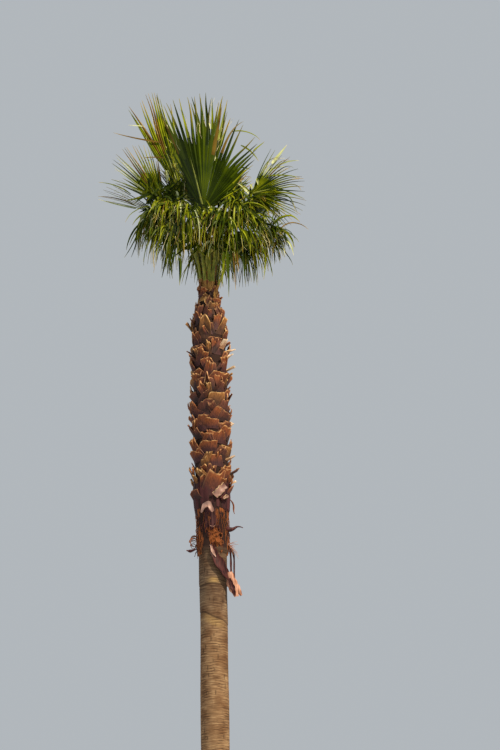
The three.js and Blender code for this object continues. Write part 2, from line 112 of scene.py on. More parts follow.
# Each frond as in the part's source: turn, lean, face and twist in degrees, the hub's reach from
# the trunk's axis and its height, the ring and turn its stalk starts from, and the blade's radius,
# spread, fold, droop, taper to its sides, joined share and crowding. Dry and lit are the shares of
# dry and yellow-green leaflets, limp the share whose ends hang. Sunny is the side, 1 or -1, with
# more of them, and glow the share of yellow-green in the joined part. HANGING is what most fronds
# share, and each gives the rest and what differs.
HANGING = dict(twist=0, inner=0, fold=15, taper=0.25, crowd=1, dry=0.03, lit=0.4, limp=0.5, sunny=0,
               glow=0)
FRONDS = [HANGING | own for own in [
    dict(name="front", turn=-100, reach=0.307, high=10.8, lean=27, face=-121, inner=1, start=-103,
         blade=1.26, spread=150, fold=44, droop=0.15, taper=0.58, split=0.55, dry=0.05, lit=0.25,
         limp=0.08),
    dict(name="upper_left", turn=163, reach=0.31, high=11.13, lean=18, face=180, twist=90, inner=1,
         start=155, blade=1.42, spread=24, fold=0, droop=0.05, taper=0.12, split=0.48, crowd=2.2,
         dry=0.3, lit=0.5, limp=0.06, sunny=1, glow=0.4),
    dict(name="top", turn=80, reach=0.07, high=11.33, lean=5, face=100, inner=2, start=80, blade=1.22,
         spread=34, fold=30, droop=0.1, taper=0.2, split=0.5, dry=0.1, lit=0.5, limp=0.1),
    dict(name="left", turn=185, reach=0.51, high=11, lean=34, face=185, twist=80, inner=1, start=190,
         blade=0.82, spread=60, fold=0, droop=0.1, taper=0.3, split=0.42, crowd=1.25, dry=0.12, lit=0.5,
         limp=0.06, glow=0.6),
    dict(name="right", turn=-10, reach=0.47, high=11.1, lean=76, face=-5, twist=-80, inner=1, start=-8,
         blade=0.63, spread=116, fold=0, droop=0.3, taper=0.1, split=0.4, dry=0.15, lit=0.5, limp=0.35,
         glow=0.3),
    dict(name="upper_right", turn=40, reach=0.22, high=11.08, lean=35, face=20, twist=-60, inner=1,
         start=42, blade=0.52, spread=80, fold=0, droop=0.2, split=0.5, dry=0.1, lit=0.3, limp=0.3),
    dict(name="right_low", turn=-12, reach=0.6, high=10.56, lean=82, face=-10, twist=-50, start=-26,
         blade=0.36, spread=200, fold=10, droop=1.3, taper=0.2, split=0.25, dry=0.1),
    dict(name="front_right_low", turn=-60, reach=0.42, high=10.74, lean=128, face=-64, start=-62,
         blade=1.04, spread=170, droop=3.6, split=0.28),
    dict(name="front_left_low", turn=238, reach=0.45, high=10.76, lean=130, face=236, start=243,
         blade=0.98, spread=170, droop=3.6, split=0.28),
    dict(name="front_right_mid", turn=-44, reach=0.4, high=10.85, lean=112, face=-42, inner=1,
         start=-50, blade=0.72, spread=150, droop=3.4, split=0.3),
    dict(name="front_left_mid", turn=222, reach=0.43, high=10.86, lean=112, face=220, inner=1,
         start=222, blade=0.68, spread=150, droop=3.4, split=0.3),
    dict(name="front_low", turn=-88, reach=0.37, high=10.73, lean=118, face=-88, start=-85, blade=0.56,
         spread=170, droop=3, split=0.28),
    dict(name="left_low", turn=205, reach=0.52, high=10.88, lean=115, face=203, start=210, blade=0.72,
         spread=190, droop=4.8, split=0.3),
    dict(name="left_mid", turn=172, reach=0.56, high=10.94, lean=63, face=180, twist=90, start=188,
         blade=0.71, spread=24, fold=0, droop=0.08, taper=0.1, split=0.2, crowd=0.9, dry=0.4, limp=0),
    dict(name="back_left", turn=148, reach=0.38, high=11, lean=36, face=158, twist=30, start=162,
         blade=0.62, spread=150, fold=20, droop=0.8, split=0.45, limp=0.3),
    dict(name="back_right", turn=20, reach=0.36, high=10.92, lean=50, face=26, start=12, blade=0.62,
         spread=180, fold=19, droop=1.4, split=0.45, limp=0.3),
    dict(name="back", turn=101, reach=0.38, high=11.08, lean=38, face=97, inner=1, start=108,
         blade=0.85, spread=170, fold=40, droop=0.6, taper=0.5, split=0.5, dry=0.05, lit=0.3, limp=0.2),
    dict(name="back_left_low", turn=134, reach=0.42, high=10.9, lean=115, face=136, start=136,
         blade=0.62, spread=190, droop=3.2, split=0.36, limp=0.4),
    dict(name="back_right_low", turn=52, reach=0.44, high=10.8, lean=115, face=50, start=48, blade=0.66,
         spread=190, droop=3.2, split=0.36, limp=0.4),
    dict(name="back_low", turn=84, reach=0.31, high=10.66, lean=118, face=86, start=76, blade=0.56,
         spread=190, droop=3.4, split=0.36, limp=0.4),
]]


# Directions and places on the trunk.

def unit(vectors):
    return vectors / np.maximum(np.linalg.norm(vectors, axis=-1, keepdims=True), 1e-9)


def axis_x(z):
    """Where the trunk's centre line is across, which leans to the left as it rises."""
    return -LEAN * np.maximum(z, 0) ** 1.5


def around(turn, radius, z):
    """Points at turns in degrees around the trunk's leaning centre line."""
    a = np.radians(turn)
    z = np.asarray(z, float)
    x, y, z = np.broadcast_arrays(axis_x(z) + radius * np.cos(a), radius * np.sin(a), z)
    return np.stack([x, y, z], axis=-1)


def heading(turn, lean):
    """The direction that leans this far from upright, turned around the upright axis, in degrees."""
    t, a = math.radians(turn), math.radians(lean)
    return np.array([math.sin(a) * math.cos(t), math.sin(a) * math.sin(t), math.cos(a)])


def profile_radius(z):
    return np.interp(z, TRUNK_HEIGHTS, TRUNK_RADII)


def trunk_radius(z):
    return profile_radius(z) + (FOOT_RADIUS - TRUNK_RADII[0]) * np.exp(-np.asarray(z) / FLARE)


def smooth_step(low, high, value):
    t = np.clip((value - low) / (high - low), 0, 1)
    return t * t * (3 - 2 * t)


def ripples(seed, turn, z, turns, heights, count=14):
    """Smooth seeded noise from -1 to 1 that closes around the trunk: waves of whole turns."""
    rng = np.random.default_rng(seed)
    total = np.zeros(np.broadcast(turn, z).shape)
    for _ in range(count):
        n = rng.integers(0, turns + 1)
        k = rng.uniform(-1, 1) * 2 * math.pi * heights
        total += np.sin(np.radians(turn) * n + k * z + rng.uniform(0, 2 * math.pi))
    return total / math.sqrt(count)


# Materials.

def colour(code):
    """An sRGB hex colour as a linear one."""
    parts = [int(code[i:i + 2], 16) / 255 for i in (1, 3, 5)]
    return [c / 12.92 if c <= 0.04045 else ((c + 0.055) / 1.055) ** 2.4 for c in parts] + [1]


def add(tree, kind, inputs=None, stops=(), **settings):
    """Adds one node with its settings; an input is a value or the socket that feeds it."""
    made = tree.nodes.new(kind)
    for name, value in settings.items():
        setattr(made, name, value)
    for key, value in (inputs or {}).items():
        if isinstance(value, bpy.types.NodeSocket):
            tree.links.new(value, made.inputs[key])
        else:
            made.inputs[key].default_value = value
    for i, (place, code) in enumerate(stops):
        elements = made.color_ramp.elements
        stop = elements[i] if i < 2 else elements.new(place)
        stop.position = place
        stop.color = colour(code)
    return made


def finish_named(name, roughness, specular):
    """A new material with its nodes; none here is a metal, so only these two values differ."""
    made = bpy.data.materials.new(name)
    made.use_nodes = True
    shader = made.node_tree.nodes["Principled BSDF"]
    shader.inputs["Roughness"].default_value = roughness
    shader.inputs["Specular IOR Level"].default_value = specular
    return made, made.node_tree, shader


def ringed_bark():
    """Weathered palm bark: tan, ringed by old leaf scars, greyer high up, with dark grooves."""
    made, tree, shader = finish_named("ringed_bark", 0.92, 0.25)
    place = add(tree, "ShaderNodeTexCoord").outputs["Object"]
    groove = add(tree, "ShaderNodeAttribute", attribute_name="groove").outputs["Fac"]
    height = add(tree, "ShaderNodeSeparateXYZ", {0: place}).outputs["Z"]
    # Scar lines a few millimetres high and decimetres long, drawn 1 cm high to show.
    flat = add(tree, "ShaderNodeMapping", {"Vector": place, "Scale": (8, 8, 110)}).outputs[0]
    lines = add(tree, "ShaderNodeTexNoise", {"Vector": flat, "Scale": 1.0, "Detail": 3.0}).outputs["Fac"]
    patches = add(tree, "ShaderNodeTexNoise", {"Vector": place, "Scale": 7.0,
                                               "Detail": 4.0}).outputs["Fac"]
    tan = add(tree, "ShaderNodeValToRGB", {"Fac": lines}, [
        (0.3, "#6d5138"), (0.62, "#b18f68"), (0.45, "#94724f"), (0.8, "#c2a57e")]).outputs[0]
    grey = add(tree, "ShaderNodeValToRGB", {"Fac": lines}, [
        (0.3, "#4b3a2d"), (0.62, "#8d7559"), (0.45, "#6e5641"), (0.8, "#a0896b")]).outputs[0]
    high = add(tree, "ShaderNodeMapRange", {"Value": height, "From Min": 6.1,
                                            "From Max": 6.6}).outputs[0]
    base = add(tree, "ShaderNodeMix", {0: high, 6: tan, 7: grey}, data_type="RGBA").outputs[2]
    blotch = add(tree, "ShaderNodeValToRGB", {"Fac": patches}, [
        (0.36, "#a4876a"), (0.64, "#ffffff")]).outputs[0]
    base = add(tree, "ShaderNodeMix", {0: 0.7, 6: base, 7: blotch}, data_type="RGBA",
               blend_type="MULTIPLY").outputs[2]
    base = add(tree, "ShaderNodeMix", {0: groove, 6: base, 7: colour("#3b291b")},
               data_type="RGBA").outputs[2]
    bare = add(tree, "ShaderNodeAttribute", attribute_name="bare").outputs["Fac"]
    base = add(tree, "ShaderNodeMix", {0: bare, 6: base, 7: colour("#b8955a")},
               data_type="RGBA").outputs[2]
    # Above 7.1 m the trunk is hidden by fibre, sheaths and leaf bases; its bark there is painted dark
    # brown, painted shade in the gaps between them.
    under = add(tree, "ShaderNodeMapRange", {"Value": height, "From Min": 7.0,
                                             "From Max": 7.1}).outputs[0]
    base = add(tree, "ShaderNodeMix", {0: under, 6: base, 7: colour("#2c1a13")},
               data_type="RGBA").outputs[2]
    tree.links.new(base, shader.inputs["Base Color"])
    pits = add(tree, "ShaderNodeTexNoise", {"Vector": flat, "Scale": 2.2, "Detail": 4.0}).outputs["Fac"]
    bump = add(tree, "ShaderNodeBump", {"Height": pits, "Strength": 0.6, "Distance": 0.004})
    tree.links.new(bump.outputs[0], shader.inputs["Normal"])
    return made


def leaf_base_skin(name, foot, top, rim):
    """Dry leaf base: a hard fibrous plate, darker and purple low down, orange-brown towards its
    cut top, and pale along its cut edges, a painted highlight."""
    made, tree, shader = finish_named(name, 0.72, 0.35)
    place = add(tree, "ShaderNodeTexCoord").outputs["Object"]
    rise = add(tree, "ShaderNodeAttribute", attribute_name="rise").outputs["Fac"]
    edge = add(tree, "ShaderNodeAttribute", attribute_name="rim").outputs["Fac"]
    # Fibres 1 to 2 mm wide run up the plate, drawn 1 cm wide to show.
    upright = add(tree, "ShaderNodeMapping", {"Vector": place, "Scale": (60, 60, 7)}).outputs[0]
    fibres = add(tree, "ShaderNodeTexNoise", {"Vector": upright, "Scale": 1.6,
                                              "Detail": 3.0}).outputs["Fac"]
    patches = add(tree, "ShaderNodeTexNoise", {"Vector": place, "Scale": 9.0,
                                               "Detail": 2.0}).outputs["Fac"]
    mixed = add(tree, "ShaderNodeMath", {0: rise, 1: patches}, operation="ADD").outputs[0]
    share = add(tree, "ShaderNodeMapRange", {"Value": mixed, "From Min": 0.8,
                                             "From Max": 1.4}).outputs[0]
    base = add(tree, "ShaderNodeMix", {0: share, 6: colour(foot), 7: colour(top)},
               data_type="RGBA").outputs[2]
    streak = add(tree, "ShaderNodeValToRGB", {"Fac": fibres}, [
        (0.35, "#6d554a"), (0.65, "#ffffff")]).outputs[0]
    base = add(tree, "ShaderNodeMix", {0: 0.6, 6: base, 7: streak}, data_type="RGBA",
               blend_type="MULTIPLY").outputs[2]
    # The rim colour along the cut edges is painted highlight.
    base = add(tree, "ShaderNodeMix", {0: edge, 6: base, 7: colour(rim)}, data_type="RGBA").outputs[2]
    tree.links.new(base, shader.inputs["Base Color"])
    bump = add(tree, "ShaderNodeBump", {"Height": fibres, "Strength": 0.7, "Distance": 0.004})
    tree.links.new(bump.outputs[0], shader.inputs["Normal"])
    return made


def streaked(name, dark, light, roughness, scale=(70, 70, 8), specular=0.35):
    """Dry plant tissue with long streaks of two shades, and a fine fibrous surface."""
    made, tree, shader = finish_named(name, roughness, specular)
    place = add(tree, "ShaderNodeTexCoord").outputs["Object"]
    # The fibres are 1 mm wide or finer. Each scale draws their bundles, 1 to 7 cm wide, to show.
    drawn = add(tree, "ShaderNodeMapping", {"Vector": place, "Scale": scale}).outputs[0]
    fibres = add(tree, "ShaderNodeTexNoise", {"Vector": drawn, "Scale": 1.0,
                                              "Detail": 4.0}).outputs["Fac"]
    shade = add(tree, "ShaderNodeValToRGB", {"Fac": fibres}, [(0.34, dark), (0.66, light)]).outputs[0]
    tree.links.new(shade, shader.inputs["Base Color"])
    bump = add(tree, "ShaderNodeBump", {"Height": fibres, "Strength": 0.6, "Distance": 0.003})
    tree.links.new(bump.outputs[0], shader.inputs["Normal"])
    return made


def leaflet_skin(name, dark, light, tip, roughness=0.45):
    """Waxy palm leaflet: satin green with fine veins along it and a paler tip."""
    made, tree, shader = finish_named(name, roughness, 0.12)
    place = add(tree, "ShaderNodeTexCoord")
    parts = add(tree, "ShaderNodeSeparateXYZ", {0: place.outputs["UV"]}).outputs
    patches = add(tree, "ShaderNodeTexNoise", {"Vector": place.outputs["Object"], "Scale": 5.0,
                                                "Detail": 2.0}).outputs["Fac"]
    base = add(tree, "ShaderNodeValToRGB", {"Fac": patches}, [(0.36, dark), (0.64, light)]).outputs[0]
    # Veins about 2 mm apart lie along the leaflet, drawn six to its width.
    veins = add(tree, "ShaderNodeMath", {0: parts["X"], 1: 6 * 2 * math.pi},
                operation="MULTIPLY").outputs[0]
    veins = add(tree, "ShaderNodeMath", {0: veins}, operation="SINE").outputs[0]
    edge_highlight_and_tip_wear = add(tree, "ShaderNodeMapRange", {"Value": parts["Y"], "From Min": 0.82,
                                            "From Max": 1.0}).outputs[0]
    base = add(tree, "ShaderNodeMix", {0: edge_highlight_and_tip_wear, 6: base, 7: colour(tip)}, data_type="RGBA").outputs[2]
    tree.links.new(base, shader.inputs["Base Color"])
    bump = add(tree, "ShaderNodeBump", {"Height": veins, "Strength": 0.25, "Distance": 0.001})
    tree.links.new(bump.outputs[0], shader.inputs["Normal"])
    return made


# Corky bark, weathered outdoors: matt, and rough to the touch.
BARK = ringed_bark()
# Leaf bases of hard dead fibre, sawn or torn across and dried: dull, deeper where they are still
# purple-brown, with painted highlight in straw along the cut edge. The few cream ones are painted
# glints.
CUT_BASE = leaf_base_skin("cut_leaf_base", "#482321", "#8b4a1f", "#dcab70")
BROWN_BASE = leaf_base_skin("brown_leaf_base", "#371c17", "#6c3924", "#c69260")
TAN_BASE = leaf_base_skin("tan_leaf_base", "#50301c", "#99652f", "#dfb678")
PALE_BASE = leaf_base_skin("glint_leaf_base", "#b4845f", "#f4d3b0", "#fff4e4")
# The sawn face of a base: bare dry pith, light and quite matt.
CUT_FACE = streaked("cut_base_face", "#a07a4c", "#d9bd8c", 0.8)
# Coarse palm fibre, woven by growth and rusted by weather: matt, all in upright threads.
FIBRE = streaked("palm_fibre", "#5c3019", "#965629", 0.85, (110, 110, 16), 0.2)
# Old leaf sheaths: thin, smooth and leathery once dry, so they hold a soft dark sheen. The pale
# ones are pinkish tan, lightened by painted highlight.
SHEATH = streaked("old_sheath", "#230b0b", "#4d2524", 0.55, (22, 22, 5), 0.2)
PALE_SHEATH = streaked("pale_sheath", "#6a463c", "#b28a78", 0.5, (14, 14, 5), 0.4)
# Dry stalk tissue: tough dark straps, and a paler torn flap whose pink is partly painted highlight.
DRY_STRAP = streaked("dry_leaf_strap", "#260e0e", "#542622", 0.6, (60, 60, 9), 0.2)
TORN_FLAP = streaked("torn_leaf_flap", "#8a4f2c", "#d29a7c", 0.5, (60, 60, 9), 0.5)
# The fibrous foot of a living leaf: matt brown, golden in its streaks.
NECK = streaked("neck_sheath", "#6d3f1d", "#a9803f", 0.75, (80, 80, 8))
# Living leaflets have a waxy skin with a satin gleam, some deep green and some yellow-green, the
# yellow-green painted sunlight; those that dry turn matt and straw-coloured, and the few pale ones
# are painted glints.
DEEP_LEAF = leaflet_skin("deep_green_leaflet", "#1f2b02", "#303e03", "#5d5a14")
MID_LEAF = leaflet_skin("green_leaflet", "#303f02", "#475403", "#7a7018")
LIT_LEAF = leaflet_skin("yellow_green_leaflet", "#5a6405", "#848a10", "#98802a")
DRY_LEAF = leaflet_skin("dry_leaflet", "#554010", "#7a6222", "#a08a50", 0.6)
PALE_LEAF = leaflet_skin("pale_leaflet", "#8f985a", "#c8cc9c", "#cfc8a4", 0.35)
LEAF_SKINS = [DEEP_LEAF, MID_LEAF, LIT_LEAF, DRY_LEAF, PALE_LEAF]
# Leaf stalks and main ribs: smooth green skin with yellow streaks, a little glossier on the rib.
STALK = streaked("green_leaf_stalk", "#4c5814", "#99963a", 0.45, (60, 60, 9), 0.3)
RIB = streaked("yellow_green_rib", "#4f5a10", "#7c8226", 0.4, (60, 60, 6), 0.5)
# Threads from the leaflets' edges: dry, thin and nearly white.
THREAD = streaked("leaf_thread", "#a99a63", "#d8cda0", 0.7)


# Meshes.

def select(*pieces):
    """Selects these pieces alone; the first becomes the active one."""
    bpy.ops.object.select_all(action="DESELECT")
    for piece in pieces:
        piece.select_set(True)
    if pieces:
        bpy.context.view_layer.objects.active = pieces[0]


def face_outwards(crease):
    """Turns the active piece's faces outwards, and smooths it but for folds sharper than crease."""
    bpy.ops.object.mode_set(mode="EDIT")
    bpy.ops.mesh.select_all(action="SELECT")
    bpy.ops.mesh.normals_make_consistent(inside=False)
    bpy.ops.object.mode_set(mode="OBJECT")
    bpy.ops.object.shade_smooth_by_angle(angle=math.radians(crease))


def mesh_piece(points, faces, face_skins, skins, crease, uv=None):
    """One joined mesh of many small closed forms."""
    mesh = bpy.data.meshes.new("palm")
    mesh.from_pydata(points, [], faces)
    for skin in skins:
        mesh.materials.append(skin)
    mesh.polygons.foreach_set("material_index", np.asarray(face_skins, np.int32))
    if uv is not None:
        corners = np.empty(len(mesh.loops), np.int32)
        mesh.loops.foreach_get("vertex_index", corners)
        at_corners = np.asarray(uv, np.float32)[corners]
        mesh.uv_layers.new(name="UVMap").data.foreach_set("uv", at_corners.ravel())
    piece = bpy.data.objects.new("palm", mesh)
    bpy.context.scene.collection.objects.link(piece)
    select(piece)
    face_outwards(crease)
    return piece


def tube_rings(rings, sides):
    """Faces of a closed tube over its rings, whose points are numbered from zero."""
    faces = [tuple(range(sides))]
    for r in range(rings - 1):
        for i in range(sides):
            j = (i + 1) % sides
            faces.append((r * sides + i, r * sides + j, (r + 1) * sides + j, (r + 1) * sides + i))
    faces.append(tuple((rings - 1) * sides + i for i in reversed(range(sides))))
    return faces


def closed_tubes(tubes):
    """The points, faces and face skins of many closed tubes. Each is its rings of points and the
    number of its skin, or one number for each of its faces."""
    points, faces, picks = [], [], []
    for rings, pick in tubes:
        first = len(points)
        points += list(rings.reshape(-1, 3))
        tube = tube_rings(*rings.shape[:2])
        faces += [tuple(first + i for i in face) for face in tube]
        picks += list(np.broadcast_to(pick, len(tube)))
    return points, faces, picks


def joined_tubes(tubes, skins, sides=4):
    """Many tapering tubes as one piece; each is its path, its radii and its skin's number."""
    a = 2 * math.pi * np.arange(sides)[:, None] / sides
    forms = []
    for path, radii, pick in tubes:
        along = unit(np.gradient(path, axis=0))
        guide = np.array([1.0, 0, 0]) if abs(along[0][0]) < 0.8 else np.array([0, 1.0, 0])
        side = unit(np.cross(along, guide))
        up = np.cross(side, along)
        circle = np.cos(a) * side[:, None] + np.sin(a) * up[:, None]
        forms.append((path[:, None] + np.reshape(radii, (-1, 1, 1)) * circle, pick))
    return mesh_piece(*closed_tubes(forms), skins, 60)


def shaped_grid(columns, rows, place, skins, thick=0):
    """A grid whose vertices are moved to place(u, v), u and v from 0 to 1, thickened inwards if
    asked. Place gives the points and, by name, the values that its material reads there."""
    select()
    bpy.ops.mesh.primitive_grid_add(x_subdivisions=columns, y_subdivisions=rows, size=1)
    piece = bpy.context.object
    mesh = piece.data
    flat = np.empty(len(mesh.vertices) * 3)
    mesh.vertices.foreach_get("co", flat)
    flat = flat.reshape(-1, 3)
    points, found = place(flat[:, 0] + 0.5, flat[:, 1] + 0.5)
    mesh.vertices.foreach_set("co", points.ravel())
    for key, worth in found.items():
        mesh.attributes.new(key, "FLOAT", "POINT").data.foreach_set("value", worth.astype(np.float32))
    for skin in skins:
        mesh.materials.append(skin)
    if thick:
        bpy.ops.object.modifier_add(type="SOLIDIFY")
        solidify = piece.modifiers[-1]
        solidify.thickness = thick
        solidify.offset = -1
        solidify.material_offset_rim = len(skins) - 1
        bpy.ops.object.modifier_apply(modifier=solidify.name)
    bpy.ops.object.mode_set(mode="EDIT")
    bpy.ops.mesh.select_all(action="SELECT")
    bpy.ops.mesh.remove_doubles(threshold=1e-5)
    if not thick:
        bpy.ops.mesh.fill_holes(sides=0)
    bpy.ops.object.mode_set(mode="OBJECT")
    face_outwards(40)
    return piece


def joined(pieces):
    select(*pieces)
    bpy.ops.object.join()
    return pieces[0]


def settle(piece, name, slot, *nodes):
    """The finished piece gets its name, rides on the plant and stands for the nodes it replaces.
    Its slot is not used."""
    piece.name = piece.data.name = name
    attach(piece, "root")
    if nodes:
        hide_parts(*nodes)


# The trunk.

def old_bark_edges(turn, z):
    """Heights of the two lines around the trunk where older, greyer bark ends."""
    high = OLD_BARK_HIGH + 0.014 * ripples(8, turn, 0 * z, 4, 1)
    low = OLD_BARK_LOW - 0.06 * np.cos(np.radians(turn)) + 0.01 * ripples(9, turn, 0 * z, 5, 1)
    return high, low


def bark_grooves(turn, z):
    """Depths from 0 to 1 of the ring scars, their fine lines and the short upright cracks."""
    wander = 0.35 * ripples(3, turn, z, 3, 2.5) + 0.12 * ripples(4, turn, z, 11, 6)
    phase = (z / RING_SPACING + wander) % 1
    strength = 0.55 + 0.4 * ripples(5, turn, z, 5, 5)
    rings = np.exp(-((phase - 0.5) / 0.13) ** 2) * np.clip(strength, 0.1, 1)
    fine = (z / (RING_SPACING * 0.37) + 2 * wander) % 1
    lines = np.exp(-((fine - 0.5) / 0.2) ** 2) * 0.35
    cracks = smooth_step(1.0, 1.7, ripples(6, turn, z, 46, 7, 24)) * 0.8
    old_edges = sum(np.exp(-((z - edge) / 0.006) ** 2) for edge in old_bark_edges(turn, z))
    return np.clip(np.maximum(np.maximum(rings, lines), np.maximum(cracks, old_edges)), 0, 1)


def trunk_place(u, v):
    """The trunk's surface, around it and up, with its grooves and the bark that is bare."""
    turn = 360 * u
    z = np.interp(v, np.linspace(0, 1, len(BARK_ROWS)), BARK_ROWS)
    lobes = 1 + 0.05 * np.exp(-z / FLARE) * np.sin(np.radians(turn * 5 + 40))
    groove = bark_grooves(turn, z) * smooth_step(FIBRE_LOW + 0.1, FIBRE_LOW, z)
    swell = 0.0025 * ripples(7, turn, z, 4, 1.2) * smooth_step(0, 0.4, z)
    high, low = old_bark_edges(turn, z)
    above = 0.003 * (smooth_step(low - 0.01, low + 0.01, z) + smooth_step(high - 0.01, high + 0.01, z))
    # Lighter yellowish bark above the upper line and below the lower one, where bases tore off.
    bare = np.exp(-((turn - 273) / 20) ** 2 - ((z - high - 0.035) / 0.03) ** 4)
    bare = bare + 0.7 * np.exp(-((turn - 268) / 45) ** 2 - ((z - low + 0.05) / 0.045) ** 4)
    closing = np.interp(z, [0, TIP_HEIGHT - 0.04, TIP_HEIGHT], [1, 1, 0.02])
    radius = closing * trunk_radius(np.minimum(z, TRUNK_HEIGHTS[-1]))
    radius = radius * lobes + swell + above * smooth_step(7.2, 7.0, z) - 0.004 * groove
    radius = np.where(z >= TIP_HEIGHT, 0.0005, np.maximum(radius, 0.002))
    return around(turn, radius, z), {"groove": groove, "bare": 0.65 * bare * (1 - groove)}


def ringed_trunk():
    trunk = shaped_grid(TRUNK_COLUMNS, len(BARK_ROWS) - 1, trunk_place, [BARK])
    settle(trunk, "ringed_trunk", "bark", "trunk")


# The sleeve of cut leaf bases. Each base, like each fan, draws its chances from a seed of its own,
# so that a change to one leaves the others as they are.

def leaf_plate(seed, turn, z0, width, height, tilt, flare, notch, skins, rim, tops=None):
    """One old leaf base: a fibrous plate that leans sideways and out towards its ragged cut top,
    torn down its middle as deep as its notch. Tops are five heights across it, if it has its own."""
    rng = np.random.default_rng(seed + 1000)
    corners = np.concatenate([[-1], np.sort(rng.uniform(-0.8, 0.8, 3)), [1]])
    heights = rng.uniform(0.7, 1.0, 5)
    if tops:
        corners, heights = np.array([-1, -0.45, 0, 0.45, 1]), np.array(tops)
    phases = rng.uniform(0, 6.28, 6)
    notch_at = rng.uniform(-0.3, 0.3)
    curl, belly = rng.uniform(-0.024, 0.03), rng.uniform(-0.003, 0.006)

    def place(u, v):
        side = 2 * u - 1
        top = np.interp(side, corners, heights)
        top = top - notch * np.maximum(0, 1 - np.abs(side - notch_at) / 0.2)
        top = top + 0.009 * np.sin(side * 19 + phases[0]) + 0.007 * np.sin(side * 37 + phases[1])
        z = z0 + height * v * top
        sweep = side * width / 2 * (1 - 0.3 * v) + height * v * math.tan(math.radians(tilt))
        sweep = sweep + 0.006 * np.sin(v * 5 + phases[2])
        stand = (flare + 0.008) * v ** 1.2
        torn = np.exp(-((side - notch_at) / 0.1) ** 2) * v * (notch > 0.05)
        bend = belly * (1 - side ** 2) - 0.012 * torn
        strands = 0.0016 * np.sin(side * 27 + phases[3]) + 0.001 * np.sin(side * 43 + phases[4] + 2 * v)
        radius = profile_radius(np.minimum(z, NECK_TOP)) + stand + bend + strands * (0.4 + 0.6 * v)
        radius = radius + curl * side * v ** 2 + 0.004
        patch = 0.75 + 0.6 * np.sin(side * 7 + phases[5])
        # Pale straw in patches along the cut top and sides: painted highlight.
        edges = np.maximum(smooth_step(0.92, 0.99, v), 0.3 * smooth_step(0.9, 1, np.abs(side)) * v)
        edge_highlight_and_tip_wear = np.clip(edges * patch, 0, 1) * rim
        return around(turn + np.degrees(sweep / radius), radius, z), {"rise": v, "rim": edge_highlight_and_tip_wear}

    grid = (14, 12) if width > 0.1 else (10, 10)
    return shaped_grid(*grid, place, skins, PLATE_THICK)


def plate_skins(rng):
    """The skin of a leaf base and of its torn edge: mostly purple-brown, some brown, some tan."""
    chance = rng.random()
    if chance < 0.56:
        return [CUT_BASE]
    return [BROWN_BASE] if chance < 0.95 else [TAN_BASE]


def leaf_base_sleeve():
    """The stiff bases that the solid shows too, each torn into two halves that cross its neighbours."""
    parts = []
    for i in range(BASE_COUNT):
        rng = np.random.default_rng(100 + i)
        share = i / (BASE_COUNT - 1)
        small = 1 - 0.45 * share ** 3
        height = BASE_HEIGHT * (0.8 + 0.3 * ((i * 7) % 5) / 4)
        for side in (-1, 1):
            tilt = -side * rng.uniform(8, 42) * (1 - 0.4 * share ** 2)
            parts.append(leaf_plate(
                2 * i + side, i * GOLDEN_ANGLE + side * rng.uniform(10, 20),
                BASE_LOWEST + i * BASE_RISE + rng.uniform(-0.03, 0.03),
                BASE_WIDTH * small * rng.uniform(0.5, 0.85), height * rng.uniform(0.7, 1.0), tilt,
                BASE_FLARE * small * rng.uniform(0.6, 1.15), rng.uniform(-0.3, 0.22),
                plate_skins(rng), 0.8))
    settle(joined(parts), "cut_leaf_bases", "bark", "trunk")


def worn_leaf_bases():
    """Broad low bases that fill the sleeve between the stiff ones, with wavy cut edges."""
    parts = []
    for i in range(WORN_BASES):
        rng = np.random.default_rng(300 + i)
        z0 = WORN_LOWEST + i * WORN_RISE
        small = 1 - 0.6 * smooth_step(9.5, 9.95, z0)
        parts.append(leaf_plate(
            300 + i, i * GOLDEN_ANGLE + 71, z0, rng.uniform(0.14, 0.26) * small,
            rng.uniform(0.1, 0.17) * small, rng.uniform(-30, 30), rng.uniform(0.016, 0.04) * small,
            0.0, plate_skins(rng), 0.9))
    settle(joined(parts), "worn_leaf_bases", "bark", "trunk")


def leaf_base_splinters():
    """Narrow torn pieces between the bases: small and dense at the neck, sparse below."""
    parts = []
    for i in range(SPLINTERS):
        rng = np.random.default_rng(500 + i)
        z0 = rng.uniform(7.7, 9.6) if i < LOW_SPLINTERS else rng.uniform(9.58, 10.0)
        small = 1 - 0.4 * smooth_step(9.6, 10.0, z0)
        parts.append(leaf_plate(
            500 + i, i * GOLDEN_ANGLE + 20, z0, rng.uniform(0.035, 0.1) * small,
            rng.uniform(0.07, 0.16), rng.uniform(-40, 40), rng.uniform(0.01, 0.05) * small, 0.0,
            plate_skins(rng), 0.7))
    settle(joined(parts), "leaf_base_splinters", "bark", "trunk")


